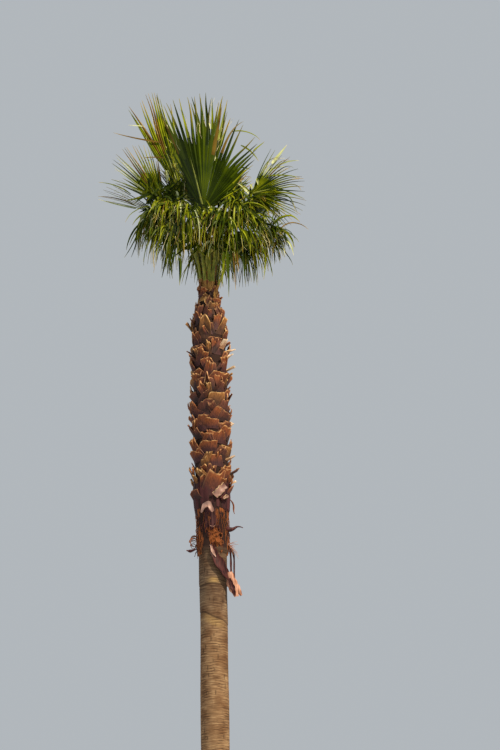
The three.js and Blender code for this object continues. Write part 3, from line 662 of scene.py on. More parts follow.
def marked_leaf_bases():
    """The bases that stand out in the view: a tan upright pair below the neck, cream ones at the
    right edge and a pale spike, both painted glints, and those that reach furthest out. A row is
    what a leaf plate takes after its seed."""
    # Pale is cream with a sawn-face rim: the skin of the painted glints.
    tan, pale, dark, cut = [TAN_BASE], [PALE_BASE, CUT_FACE], [BROWN_BASE], [CUT_BASE]
    rows = [
        (-107, 9.35, 0.16, 0.27, 4, 0.07, 0.0, tan, 0.9, [0.8, 0.9, 1, 0.86, 0.62]),
        (-48, 9.42, 0.1, 0.21, 14, 0.055, 0.0, tan, 0.9, [0.8, 0.95, 1, 0.95, 0.9]),
        (-44, 9.26, 0.1, 0.11, 5, 0.06, 0.0, pale, 1), (-16, 9.23, 0.075, 0.09, 44, 0.085, 0.0, pale, 1),
        (-22, 9.13, 0.055, 0.1, 0, 0.07, 0.0, pale, 1), (-8, 9.04, 0.04, 0.05, 10, 0.09, 0.0, pale, 1),
        (-93, 9.18, 0.055, 0.13, 2, 0.06, 0.0, tan, 1), (-97, 8.68, 0.07, 0.17, 5, 0.055, 0.0, tan, 0.9),
        (-22, 8.92, 0.05, 0.1, 20, 0.06, 0.0, tan, 1), (-30, 8.82, 0.06, 0.09, -25, 0.06, 0.0, tan, 1),
        (-19, 8.03, 0.08, 0.08, 30, 0.06, 0.0, pale, 1), (-8, 7.75, 0.055, 0.08, 20, 0.07, 0.0, pale, 1),
        (-98, 8.8, 0.07, 0.16, 2, 0.06, 0.0, dark, 1, [0.3, 0.7, 1, 0.7, 0.4]),
        (183, 9.46, 0.06, 0.17, -12, 0.085, 0.0, tan, 0.5),
        (-4, 7.85, 0.13, 0.14, 8, 0.1, 0.2, dark, 0.8), (-16, 8.36, 0.12, 0.13, 24, 0.05, 0.0, pale, 0.5),
        (-62, 8.85, 0.28, 0.13, 12, 0.045, 0.0, cut, 1),
        (-118, 8.48, 0.2, 0.24, -48, 0.05, 0.1, cut, 0.7),
        (-75, 8.2, 0.19, 0.22, 34, 0.05, 0.0, cut, 0.8), (-100, 7.62, 0.26, 0.3, 22, 0.05, 0.0, cut, 0.8),
    ]
    parts = [leaf_plate(700 + i, *row) for i, row in enumerate(rows)]
    settle(joined(parts), "marked_leaf_bases", "bark", "trunk")


# Fibre, old sheaths and what hangs from them.

def wrap(turn, half, low, high, radii, slant, ragged, seed, thick=0.007):
    """A stiff dry sheath wrapped partly round the trunk, with a torn lower edge."""
    phases = np.random.default_rng(seed).uniform(0, 6.28, 4)

    def place(u, v):
        side = 2 * u - 1
        torn = ragged * (np.sin(side * 7 + phases[0]) + 0.6 * np.sin(side * 17 + phases[1]))
        z = low + (high - low) * v + torn * (1 - v) + slant * side
        radius = np.interp(v, np.linspace(0, 1, len(radii)), radii)
        radius = radius + 0.003 * np.sin(side * 15 + phases[2] + 2 * v) - 0.012 * side ** 4
        return around(turn + half * side, radius, z), {}

    return shaped_grid(28, 14, place, [SHEATH], thick)


def old_sheaths():
    """Dark smooth sheaths between the fibre and the lowest leaf bases."""
    parts = [
        wrap(-126, 50, 7.45, 7.8, [0.166, 0.182, 0.188, 0.178], 0.03, 0.01, 1),
        wrap(-58, 46, 7.5, 7.78, [0.174, 0.186, 0.186], -0.03, 0.012, 2),
        wrap(184, 42, 7.43, 7.82, [0.164, 0.188, 0.2, 0.184], 0.02, 0.012, 3),
        wrap(-8, 42, 7.5, 7.8, [0.178, 0.188, 0.182], 0.02, 0.015, 4),
        wrap(60, 55, 7.47, 7.8, [0.18, 0.188, 0.18], 0.0, 0.02, 5),
        wrap(120, 50, 7.46, 7.8, [0.18, 0.186, 0.178], -0.02, 0.02, 6),
        wrap(-96, 27, 7.28, 7.56, [0.164, 0.168, 0.178], 0.02, 0.025, 7, 0.006),
        strap([(-172, 0.178, 7.74), (-173, 0.19, 7.66), (-170, 0.186, 7.56), (-164, 0.172, 7.49)],
              [0.05, 0.045, 0.03, 0.012], [DRY_STRAP], 0.005, cup=0.2, seed=8),
        strap([(-60, 0.196, 7.62), (-52, 0.199, 7.6), (-40, 0.197, 7.61)], [0.05, 0.07, 0.05],
              [DRY_STRAP], 0.005, cup=0.1, seed=9),
    ]
    settle(joined(parts), "old_sheaths", "dry_leaf", "trunk")


def pale_sheaths():
    """The pale pinkish tan sheaths, lightened by painted highlight: a tilted plate with a cream edge,
    a sheet whose lower edge arches, and two small curls."""
    parts = [
        strap([(-82, 0.2, 7.61), (-67, 0.21, 7.665), (-50, 0.209, 7.735)], [0.07, 0.08, 0.068],
              [PALE_SHEATH, CUT_FACE], 0.008, cup=0.15, grid=(10, 16), seed=11),
        strap([(-124, 0.188, 7.44), (-112, 0.198, 7.505), (-99, 0.2, 7.51), (-87, 0.196, 7.44)],
              [0.02, 0.06, 0.065, 0.03], [PALE_SHEATH], 0.006, UPRIGHT, 0.1, (8, 20), seed=12),
        strap([(-56, 0.21, 7.585), (-48, 0.216, 7.61), (-39, 0.212, 7.62)], [0.02, 0.04, 0.014],
              [PALE_SHEATH, CUT_FACE], 0.006, UPRIGHT, 0.3, (6, 12), seed=13),
        strap([(-98, 0.172, 7.3), (-88, 0.176, 7.285), (-79, 0.174, 7.305)], [0.008, 0.014, 0.006],
              [PALE_SHEATH], 0.004, UPRIGHT, 0.4, (6, 12), seed=14),
    ]
    settle(joined(parts), "pale_sheaths", "dry_leaf", "trunk")


def fibre_mat():
    """Coarse upright fibres felted round the trunk, frayed at the lower edge."""
    def place(u, v):
        turn = 360 * u
        torn = 0.022 * ripples(21, turn, 0 * v, 24, 1)
        z = FIBRE_LOW - 0.01 + (FIBRE_HIGH - FIBRE_LOW) * v + torn * (1 - v)
        strands = 0.0018 * ripples(22, turn, z, 90, 4, 30) + 0.004 * ripples(23, turn, z, 12, 6)
        edge = np.interp(v, [0, 0.02, 0.97, 1], [-0.03, 0, 0, -0.03])
        radius = np.maximum(profile_radius(np.clip(z, FIBRE_LOW, 7.6)), 0.151) + strands + edge
        return around(turn, radius, z), {}

    settle(shaped_grid(220, 30, place, [FIBRE]), "fibre_mat", "dry_leaf", "trunk")


def loose_fibres():
    """Single fibres and small curls that stand off the mat."""
    rng = np.random.default_rng(31)
    tubes = []
    for _ in range(LOOSE_FIBRES):
        turn, z = rng.uniform(0, 360), rng.uniform(FIBRE_LOW + 0.1, FIBRE_HIGH)
        t = np.linspace(0, 1, 7)
        length, bow = rng.uniform(0.06, 0.2), rng.uniform(0, 0.018)
        path = around(turn + rng.uniform(-14, 14) * t,
                      0.158 + bow * np.sin(math.pi * t) + 0.002 * rng.random(),
                      z - length * t * rng.choice([-0.6, 1]))
        tubes.append((path, np.full(7, rng.uniform(0.0012, 0.0026)), int(rng.random() < 0.3)))
    # The curls at the left edge and the swirls around the knot: turn, height, size and how far out.
    for turn, z, size, out in (
            (184, 7.2, 0.035, 0.19), (188, 7.16, 0.05, 0.19), (180, 7.13, 0.03, 0.2),
            (176, 7.22, 0.03, 0.19), (-92, 7.27, 0.024, 0.166), (-100, 7.21, 0.02, 0.166),
            (-76, 7.22, 0.03, 0.168), (-64, 7.2, 0.034, 0.168), (-84, 7.15, 0.028, 0.168),
            (-58, 7.13, 0.026, 0.17), (-70, 7.29, 0.022, 0.166), (-88, 7.1, 0.022, 0.168)):
        a = np.linspace(0, 2 * math.pi * 1.3, 16)
        spiral = size * (1 - 0.35 * a / a[-1])
        centre = around(turn, out, z)
        outward = heading(turn, 90)
        level = np.cross(DOWN, outward)
        first = outward if out > 0.17 else level
        path = centre + spiral[:, None] * (np.cos(a)[:, None] * first - np.sin(a)[:, None] * DOWN)
        path = path + (a / a[-1] * 0.02)[:, None] * (level if out > 0.17 else outward * 0.3)
        tubes.append((path, np.linspace(0.16, 0.07, 16) * size, 0 if size > 0.024 else 1))
    # The thin thread that dangles at the right edge, and wisps beside the torn leaf base.
    t = np.linspace(0, 1, 9)
    tubes.append((around(-8 + 4 * t, 0.19 + 0.05 * t + 0.012 * np.sin(5 * t), 7.62 - 0.15 * t),
                  np.interp(t, [0, 0.2, 0.6, 1], [0.003, 0.008, 0.009, 0.003]), 0))
    for _ in range(14):
        bend = rng.uniform(-0.04, 0.05)
        start, out = rng.uniform(-22, -2), rng.uniform(0.05, 0.11)
        path = around(start + 8 * t, 0.16 + out * t, 7.13 + bend * t - rng.uniform(0, 0.1) * t * t)
        tubes.append((path, np.linspace(0.003, 0.001, 9), 2))
    piece = joined_tubes(tubes, [FIBRE, DRY_STRAP, TORN_FLAP])
    settle(piece, "loose_fibres", "dry_leaf", "trunk")


def cut_knot():
    """The round cut end of a fruit stalk, with its rings, set in the fibre."""
    select()
    bpy.ops.mesh.primitive_cylinder_add(vertices=20, radius=0.027, depth=0.05, location=(0, 0, 0))
    knot = bpy.context.object
    bpy.ops.object.mode_set(mode="EDIT")
    bpy.ops.mesh.select_mode(type="FACE")
    bpy.ops.mesh.select_all(action="DESELECT")
    bpy.ops.object.mode_set(mode="OBJECT")
    top = max(knot.data.polygons, key=lambda face: face.center.z)
    top.select = True
    bpy.ops.object.mode_set(mode="EDIT")
    for inset, lift in ((0.004, -0.004), (0.004, 0.004), (0.004, -0.004), (0.004, 0.003)):
        bpy.ops.mesh.inset(thickness=inset)
        bpy.ops.mesh.inset(thickness=0.002)
        bpy.ops.transform.translate(value=(0, 0, lift))
    bpy.ops.object.mode_set(mode="OBJECT")
    bpy.ops.object.modifier_add(type="BEVEL")
    knot.modifiers[-1].width = 0.0012
    bpy.ops.object.modifier_apply(modifier=knot.modifiers[-1].name)
    turn = -72
    knot.location = around(turn, 0.166, 7.14)
    knot.rotation_euler = (0, math.radians(80), math.radians(turn))
    bpy.ops.object.transform_apply(location=True, rotation=True, scale=True)
    knot.data.materials.append(FIBRE)
    settle(knot, "cut_fruit_stalk", "dry_leaf", "trunk")


def strap(stations, widths, skins, thick, facing=None, cup=0.25, grid=(8, 26), ragged=0.0, seed=0):
    """A dry strip swept through points of turn, radius and height, cupped across, torn at its end.
    Its width lies level around the trunk, or near the way it is told to face."""
    phases = np.random.default_rng(seed).uniform(0, 6.28, 3)
    knots = around(*np.array(stations, float).T)
    fine = np.linspace(0, 1, 60)
    rows = np.linspace(0, 1, len(knots))
    slopes = np.gradient(knots, rows, axis=0)
    spans = np.minimum((fine * (len(rows) - 1)).astype(int), len(rows) - 2)
    t = (fine * (len(rows) - 1) - spans)[:, None]
    h = rows[1]
    # A smooth curve through the stations.
    path = ((2 * t ** 3 - 3 * t ** 2 + 1) * knots[spans] + (t ** 3 - 2 * t ** 2 + t) * h * slopes[spans]
            + (3 * t ** 2 - 2 * t ** 3) * knots[spans + 1] + (t ** 3 - t ** 2) * h * slopes[spans + 1])
    along = unit(np.gradient(path, axis=0))
    radial = unit(path - around(0, 0, path[:, 2]))
    side = np.cross(DOWN, radial) if facing is None else np.tile(facing, (len(path), 1))
    side = unit(side - (side * along).sum(-1, keepdims=True) * along)
    up = np.cross(along, side)

    def place(u, v):
        across = 2 * u - 1
        frayed = v + ragged * np.sin(across * 9 + phases[0]) * smooth_step(0.6, 1, v)
        middle, way, out = (np.stack([np.interp(share, fine, array[:, k]) for k in range(3)], -1)
                            for share, array in ((frayed, path), (v, side), (v, up)))
        wide = np.interp(v, np.linspace(0, 1, len(widths)), widths)
        wave = 0.004 * np.sin(v * 14 + phases[1]) * across + 0.003 * np.sin(v * 9 + phases[2])
        lift = (cup * wide * across ** 2 + wave)[:, None]
        wobble = (across * wide / 2 * (1 + 0.12 * np.sin(v * 21 + phases[0])))[:, None]
        return middle + way * wobble + out * lift, {}

    return shaped_grid(*grid, place, skins, thick)


def torn_leaf_base():
    """The torn leaf base that hangs upside down by two legs, its flap torn into points."""
    level = np.array([1.0, 0, 0])
    parts = [
        strap([(-94, 0.16, 7.1), (-82, 0.164, 6.99), (-56, 0.174, 6.86), (-29, 0.198, 6.74)],
              [0.03, 0.08, 0.11, 0.09], [DRY_STRAP], 0.008, cup=-0.12, seed=1),
        strap([(-97, 0.166, 7.1), (-90, 0.172, 7.03), (-80, 0.176, 6.97)],
              [0.012, 0.03, 0.008], [PALE_SHEATH], 0.005, cup=-0.1, grid=(6, 12), seed=15),
        strap([(-6, 0.14, 7.14), (-6, 0.178, 7.06), (-12, 0.186, 6.9), (-24, 0.198, 6.74)],
              [0.02, 0.022, 0.02, 0.03], [DRY_STRAP], 0.006, level, 0.2, seed=2),
        strap([(0, 0.145, 7.14), (2, 0.208, 7.05), (0, 0.214, 6.9), (-14, 0.216, 6.76)],
              [0.026, 0.02, 0.016, 0.022], [DRY_STRAP], 0.006, level, 0.2, seed=3),
        strap([(-31, 0.192, 6.83), (-26, 0.216, 6.7), (-19, 0.246, 6.58)],
              [0.05, 0.105, 0.03], [TORN_FLAP], 0.007, level, -0.25, (12, 22), 0.04, 4),
        strap([(-24, 0.2, 6.76), (-14, 0.25, 6.67), (-8, 0.284, 6.6)],
              [0.05, 0.055, 0.012], [TORN_FLAP], 0.006, level, -0.3, (8, 18), 0.03, 5),
        strap([(-34, 0.196, 6.76), (-28, 0.22, 6.67), (-24, 0.236, 6.585)],
              [0.03, 0.05, 0.02], [DRY_STRAP], 0.006, level, 0.25, (8, 16), 0.03, 6),
    ]
    settle(joined(parts), "torn_hanging_leaf_base", "dry_leaf", "torn_leaf_base")


def dry_horn():
    """The dry stub of a stalk that stands out at the right and thins to a bent tip."""
    t = np.linspace(0, 1, 18)
    thirds = [0, 0.33, 0.67, 1]
    turn = np.interp(t, thirds, [-22, -14, -6, 0])
    out = np.interp(t, thirds, [0.11, 0.185, 0.245, 0.312])
    z = np.interp(t, thirds, [7.28, 7.292, 7.33, 7.322]) + 0.008 * np.sin(9 * t)
    radii = np.interp(t, [0, 0.25, 0.5, 0.75, 1], [0.024, 0.03, 0.017, 0.008, 0.004])
    horn = joined_tubes([(around(turn, out, z), radii, 0)], [DRY_STRAP], 10)
    settle(horn, "dry_horn", "dry_leaf", "dry_stub")


def flat_scrap():
    """The flat dark scrap at the left, with two thin shreds beside it."""
    shred = [0.012, 0.01, 0.005]
    parts = [
        strap([(-150, 0.12, 7.08), (-160, 0.18, 7.078), (-168, 0.232, 7.068), (-172, 0.272, 7.076)],
              [0.03, 0.012, 0.034, 0.012], [DRY_STRAP], 0.005, UPRIGHT, 0.3, (6, 18)),
        strap([(-152, 0.14, 7.07), (-156, 0.18, 7.05), (-160, 0.2, 7.0)],
              shred, [DRY_STRAP], 0.004, UPRIGHT, 0.2, (4, 12), seed=2),
        strap([(-150, 0.14, 7.1), (-158, 0.19, 7.09), (-163, 0.225, 7.05)],
              shred, [DRY_STRAP], 0.004, UPRIGHT, 0.2, (4, 12), seed=3),
    ]
    settle(joined(parts), "flat_dry_scrap", "dry_leaf", "sheath_scrap")


def neck_sheath(k):
    """One fibrous upright sheath that narrows to its stalk."""
    rng = np.random.default_rng(60 + k)
    low = NECK_LOWEST + NECK_RISE * k
    high = min(low + rng.uniform(0.17, 0.27), 10.22)
    out_low = float(profile_radius(low)) + 0.01
    out_high = float(profile_radius(min(high, NECK_TOP))) + rng.uniform(0, 0.01)
    turn, half = k * GOLDEN_ANGLE + 40, math.degrees(0.055 / out_low)
    phase = rng.uniform(0, 6.28)

    def place(u, v):
        side = 2 * u - 1
        top = 1 - 0.3 * np.abs(side) ** 1.5 + 0.06 * np.sin(side * 14 + phase)
        z = low + (high - low) * v * top
        radius = out_low + (out_high - out_low) * v + 0.003 * np.sin(side * 19 + phase)
        radius = radius + 0.006 * (1 - side ** 2)
        return around(turn + half * side * (1 - 0.45 * v), radius, z), {}

    return shaped_grid(12, 12, place, [NECK, CUT_FACE], 0.006)


def neck_sheaths():
    """The sheaths where the stalks leave the sleeve of leaf bases."""
    settle(joined([neck_sheath(k) for k in range(NECK_SHEATHS)]), "neck_sheaths", "bark", "trunk")


# The fronds.

def stalk_path(f, steps):
    """The path of a frond's stalk from inside the trunk's tip to the hub of its blade."""
    low = STALK_FOOT + INNER_RISE * f["inner"]
    start = around(f["start"], 0.006 if f["inner"] == 2 else 0.058 - 0.02 * f["inner"], low)
    hub = around(f["turn"], f["reach"], f["high"])
    hub[0] += axis_x(10.0) - axis_x(f["high"])
    far = np.linalg.norm(hub - start)
    rise = start + heading(f["start"], 8) * 0.45 * far
    arrive = hub - heading(f["turn"], min(f["lean"], 80) - 5) * 0.3 * far
    t = np.linspace(0, 1, steps + 1)[:, None]
    return ((1 - t) ** 3 * start + 3 * t * (1 - t) ** 2 * rise + 3 * t ** 2 * (1 - t) * arrive
            + t ** 3 * hub)


def blade_axes(f):
    """A fan's middle direction, the way its face looks and its sideways direction."""
    centre = heading(f["face"], f["lean"])
    normal = heading(f["face"], f["lean"] - 90)
    side = np.cross(centre, normal)
    turn = math.radians(f["twist"])
    return (centre, normal * math.cos(turn) + side * math.sin(turn),
            side * math.cos(turn) - normal * math.sin(turn))


def ribs(f, at, limp=0.0, free=1.0, sag=1.0):
    """Paths of the ribs at places from -1 to 1 across the fan. Past its free share, a limp rib
    bends down more. Sag multiplies the droop past the split."""
    at = np.asarray(at, float)
    centre, normal, side = blade_axes(f)
    angle = math.radians(f["spread"]) / 2 * at
    fold = math.radians(f["fold"]) * np.minimum(1, np.abs(angle) / 0.45)
    direction = (np.cos(angle)[:, None] * centre + (np.sin(angle) * np.cos(fold))[:, None] * side
                 + (np.abs(np.sin(angle)) * np.sin(fold))[:, None] * normal)
    direction = unit(direction)
    step = (f["blade"] * (1 - f["taper"] * at ** 2) / RIB_STEPS)[:, None]
    points = [np.tile(stalk_path(f, 8)[-1], (len(at), 1))]
    for i in range(RIB_STEPS):
        points.append(points[-1] + direction * step)
        share = (i + 0.5) / RIB_STEPS
        pull = f["droop"] * (0.3 + 1.4 * share) / RIB_STEPS * np.where(share > f["split"], sag, 1)
        pull = pull + limp * smooth_step(free, free + 0.25, share) / RIB_STEPS * np.ones(len(at))
        direction = unit(direction + np.outer(pull, DOWN))
    return np.stack(points, axis=1)


def along_paths(paths, shares):
    """Points of each path at its own shares."""
    s = np.clip(shares, 0, 1) * RIB_STEPS
    i = np.minimum(s.astype(int), RIB_STEPS - 1)
    rows = np.arange(len(paths))[:, None]
    t = (s - i)[..., None]
    return paths[rows, i] * (1 - t) + paths[rows, i + 1] * t


def free_of_trunk(paths, shares):
    """The share at which each path comes too close to the trunk or its leaf bases."""
    x, y, z = np.moveaxis(along_paths(paths, shares), -1, 0)
    room = np.where(z < SLEEVE_TOP, SLEEVE_ROOM, NECK_ROOM)
    near = (np.hypot(x - axis_x(z), y) < profile_radius(z) + room) & (z < 10.3) & (shares > 0.3)
    first = np.where(near.any(1), near.argmax(1), near.shape[1] - 1)
    return np.take_along_axis(shares, first[:, None], 1)[:, 0]


def leaflet_paths(f, at, rng):
    """Each leaflet's middle line, and the shares of it at which the leaflet comes free and at which
    it ends, which is short of the trunk."""
    count = len(at)
    split = f["split"] * (1 - 0.16 * at ** 2) * rng.uniform(0.93, 1.06, count)
    hangs = rng.random(count) < f["limp"]
    limp = np.where(hangs, rng.uniform(2, 8, count), rng.uniform(0, 0.25 + 2 * f["limp"], count))
    bend = split + (0.95 - split) * rng.uniform(0, 1, count) * (1 - f["limp"])
    length = 1 - (0.12 + 0.09 * f["droop"]) * rng.random(count) ** 2
    length = np.where(rng.random(count) < 0.06, length * rng.uniform(0.6, 0.85, count), length)
    paths = ribs(f, at, limp, bend, rng.uniform(0.5, 1.9, count))
    probe = np.tile(np.linspace(0, 1, 40), (count, 1))
    clear = np.maximum(free_of_trunk(paths, probe) - 0.03, split + 0.04)
    return paths, split, np.minimum(split + (1 - split) * length, clear)


def half_widths(f, joined_half, free_part, rng):
    """Half widths of the leaflets, row by row: as the ribs give them where they are joined, then
    tapering to each tip. Leaflets of a crowded fan overlap once they are free."""
    taper = (1 - free_part ** 1.5) * (0.7 + 0.3 * np.exp(-7 * free_part))
    taper = taper * rng.uniform(0.8, 1.05, len(joined_half))[:, None]
    wider = 1 + (1.3 * f["crowd"] ** 0.8 - 1) * smooth_step(0, 0.15, free_part)
    at_split = joined_half[:, HEART_ROWS - 1][:, None]
    return np.where(free_part > 0, at_split * (taper * wider) + 0.0012, joined_half)


def sway_and_roll(f, at, shares, free_part, rng):
    """How far the free tips sway sideways, each alone and a few neighbours together, and how far
    each rolls about its own length."""
    wild = 0.5 + 0.35 * f["droop"]
    sway = rng.normal(0, 0.028 * wild, len(at))[:, None] * f["blade"] * free_part ** 1.6
    roll = rng.normal(0, 0.45 * wild, len(at))[:, None] * free_part
    groups = np.cumsum(rng.random(len(at)) < 0.4)
    middle = np.array([at[groups == g].mean() for g in groups])
    gap = (middle - at) * math.radians(f["spread"]) / 2 * f["blade"]
    return sway + 0.22 * f["crowd"] * gap[:, None] * shares * smooth_step(0, 0.8, free_part), roll


def leaflets(f, seed):
    """The folded leaflets of one fan: rings of four points from the hub to each tip."""
    rng = np.random.default_rng(seed)
    count = 2 * round(f["spread"] * f["crowd"] / LEAFLET_SPACING / 2)
    at = -1 + (2 * np.arange(count) + 1) / count
    centre, split, end = leaflet_paths(f, at, rng)
    heart = split[:, None] * np.linspace(0.03, 1, HEART_ROWS) ** 0.8
    t = np.linspace(0, 1, TIP_ROWS)[1:]
    shares = np.concatenate([heart, split[:, None] + (end - split)[:, None] * t], axis=1)
    free_part = np.concatenate([np.zeros(HEART_ROWS), t])
    mid = along_paths(centre, shares)
    along = unit(along_paths(centre, shares + 0.02) - along_paths(centre, shares - 0.02))
    edges = ribs(f, -1 + 2 * np.arange(count + 1) / count)
    low, high = along_paths(edges[:-1], shares), along_paths(edges[1:], shares)
    over = high - low
    over = unit(over - (over * along).sum(-1, keepdims=True) * along)
    normal = np.cross(over, along)
    half = half_widths(f, np.linalg.norm(high - low, axis=-1) / 2, free_part, rng)
    sway, roll = sway_and_roll(f, at, shares, free_part, rng)
    mid = mid + over * sway[..., None]
    turned = over * np.cos(roll)[..., None] + normal * np.sin(roll)[..., None]
    raised = normal * np.cos(roll)[..., None] - over * np.sin(roll)[..., None]
    joined_fold = 0.55 * np.clip(shares / split[:, None], 0, 1)
    fold = (half * np.where(free_part > 0, 0.5 + 0.3 * free_part, joined_fold))[..., None]
    wide = half[..., None]
    thick = LEAF_THICK * (1 - 0.6 * free_part)[:, None] / 2
    is_heart = (free_part == 0)[:, None]
    left = np.where(is_heart, low + normal * fold, mid - turned * wide + raised * fold)
    right = np.where(is_heart, high + normal * fold, mid + turned * wide + raised * fold)
    crease = mid - raised * fold
    rings = np.stack([left, crease + raised * thick, right, crease - raised * thick], 2)
    return rings, shares, rng


def leaf_colours(f, count, faces, rng):
    """The skin of each face: green and deep green where leaflets are joined, and further out each
    free leaflet's own, which may also be yellow-green, dry or pale."""
    sunny_side = f["sunny"] * np.linspace(-1, 1, count)
    chance = np.clip(rng.random(count) - 0.35 * sunny_side, 0, 1)
    free = np.where(chance < f["dry"], 3, np.where(chance < f["dry"] + f["lit"], 2, 1))
    free = np.where((free == 1) & (rng.random(count) < 0.4), 0, free)
    free = np.where(rng.random(count) < 0.04, 4, free)
    heart = np.where(rng.random(count) < 0.45, 0, 1)
    heart = np.where((free == 3) & (rng.random(count) < 0.15), 3, heart)
    heart = np.where(rng.random(count) < f["glow"], 2, heart)
    turns = HEART_ROWS - 1 + rng.integers(-1, 4, count)
    row = (np.arange(faces) - 1) // 4
    return np.where(row[None] < turns[:, None], heart[:, None], free[:, None])


def fan(f, seed):
    """One fan as one piece, with its leaflets' colours and a UV map along each of them."""
    rings, shares, rng = leaflets(f, seed)
    count, rows = rings.shape[:2]
    picks = leaf_colours(f, count, 4 * (rows - 1) + 2, rng)
    uv = np.empty((count, rows, 4, 2))
    uv[..., 0] = [0, 0.5, 1, 0.5]
    uv[..., 1] = (shares / shares[:, -1:] * rng.uniform(0.85, 1.2, count)[:, None])[..., None]
    piece = mesh_piece(*closed_tubes(zip(rings, picks)), LEAF_SKINS, 25, uv.reshape(-1, 2))
    settle(piece, "fan_" + f["name"], "frond", "frond_" + f["name"])


def folded_strips(name, strips):
    """Loose leaflets as one piece; each is its path, half width, the way it faces and its skin."""
    forms, uv = [], []
    for path, half, facing, pick in strips:
        along = unit(np.gradient(path, axis=0))
        over = unit(np.cross(along, facing))
        normal = np.cross(over, along)
        t = np.linspace(0, 1, len(path))
        wide = (half * (1 - t ** 2) * (0.55 + 0.45 * np.minimum(t / 0.2, 1)) + 0.0012)[:, None]
        fold = 0.45 * wide
        rings = np.stack([path - over * wide + normal * fold, path - normal * (fold - 0.001),
                          path + over * wide + normal * fold, path - normal * (fold + 0.001)], 1)
        forms.append((rings, pick))
        uv += [(side, share) for share in t for side in (0, 0.5, 1, 0.5)]
    settle(mesh_piece(*closed_tubes(forms), LEAF_SKINS, 30, uv), name, "frond")


def curled_strips():
    """Short torn leaflets that curl down from the hanging fans and fill the crown's middle."""
    rng = np.random.default_rng(41)
    fans = [f for f in FRONDS if f["droop"] > 0.7]
    strips = []
    for _ in range(CURLED_LEAFLETS):
        f = fans[rng.integers(len(fans))]
        rib = ribs(f, [rng.uniform(-0.95, 0.95)])
        share = rng.uniform(0.08, 0.55)
        start, ahead = along_paths(rib, np.array([[share, share + 0.05]]))[0]
        direction = unit(unit(ahead - start) + rng.normal(0, 0.55, 3) + [0, 0, 0.35])
        length, pull = rng.uniform(0.14, 0.42), rng.uniform(1.5, 5.0)
        path = [start]
        for _ in range(8):
            path.append(path[-1] + direction * length / 8)
            direction = unit(direction + DOWN * pull / 8 + rng.normal(0, 0.09, 3))
        pick = rng.choice(5, p=[0.26, 0.31, 0.34, 0.03, 0.06])
        strips.append((np.array(path), rng.uniform(0.007, 0.015), unit(rng.normal(0, 1, 3)), pick))
    folded_strips("curled_leaf_strips", strips)


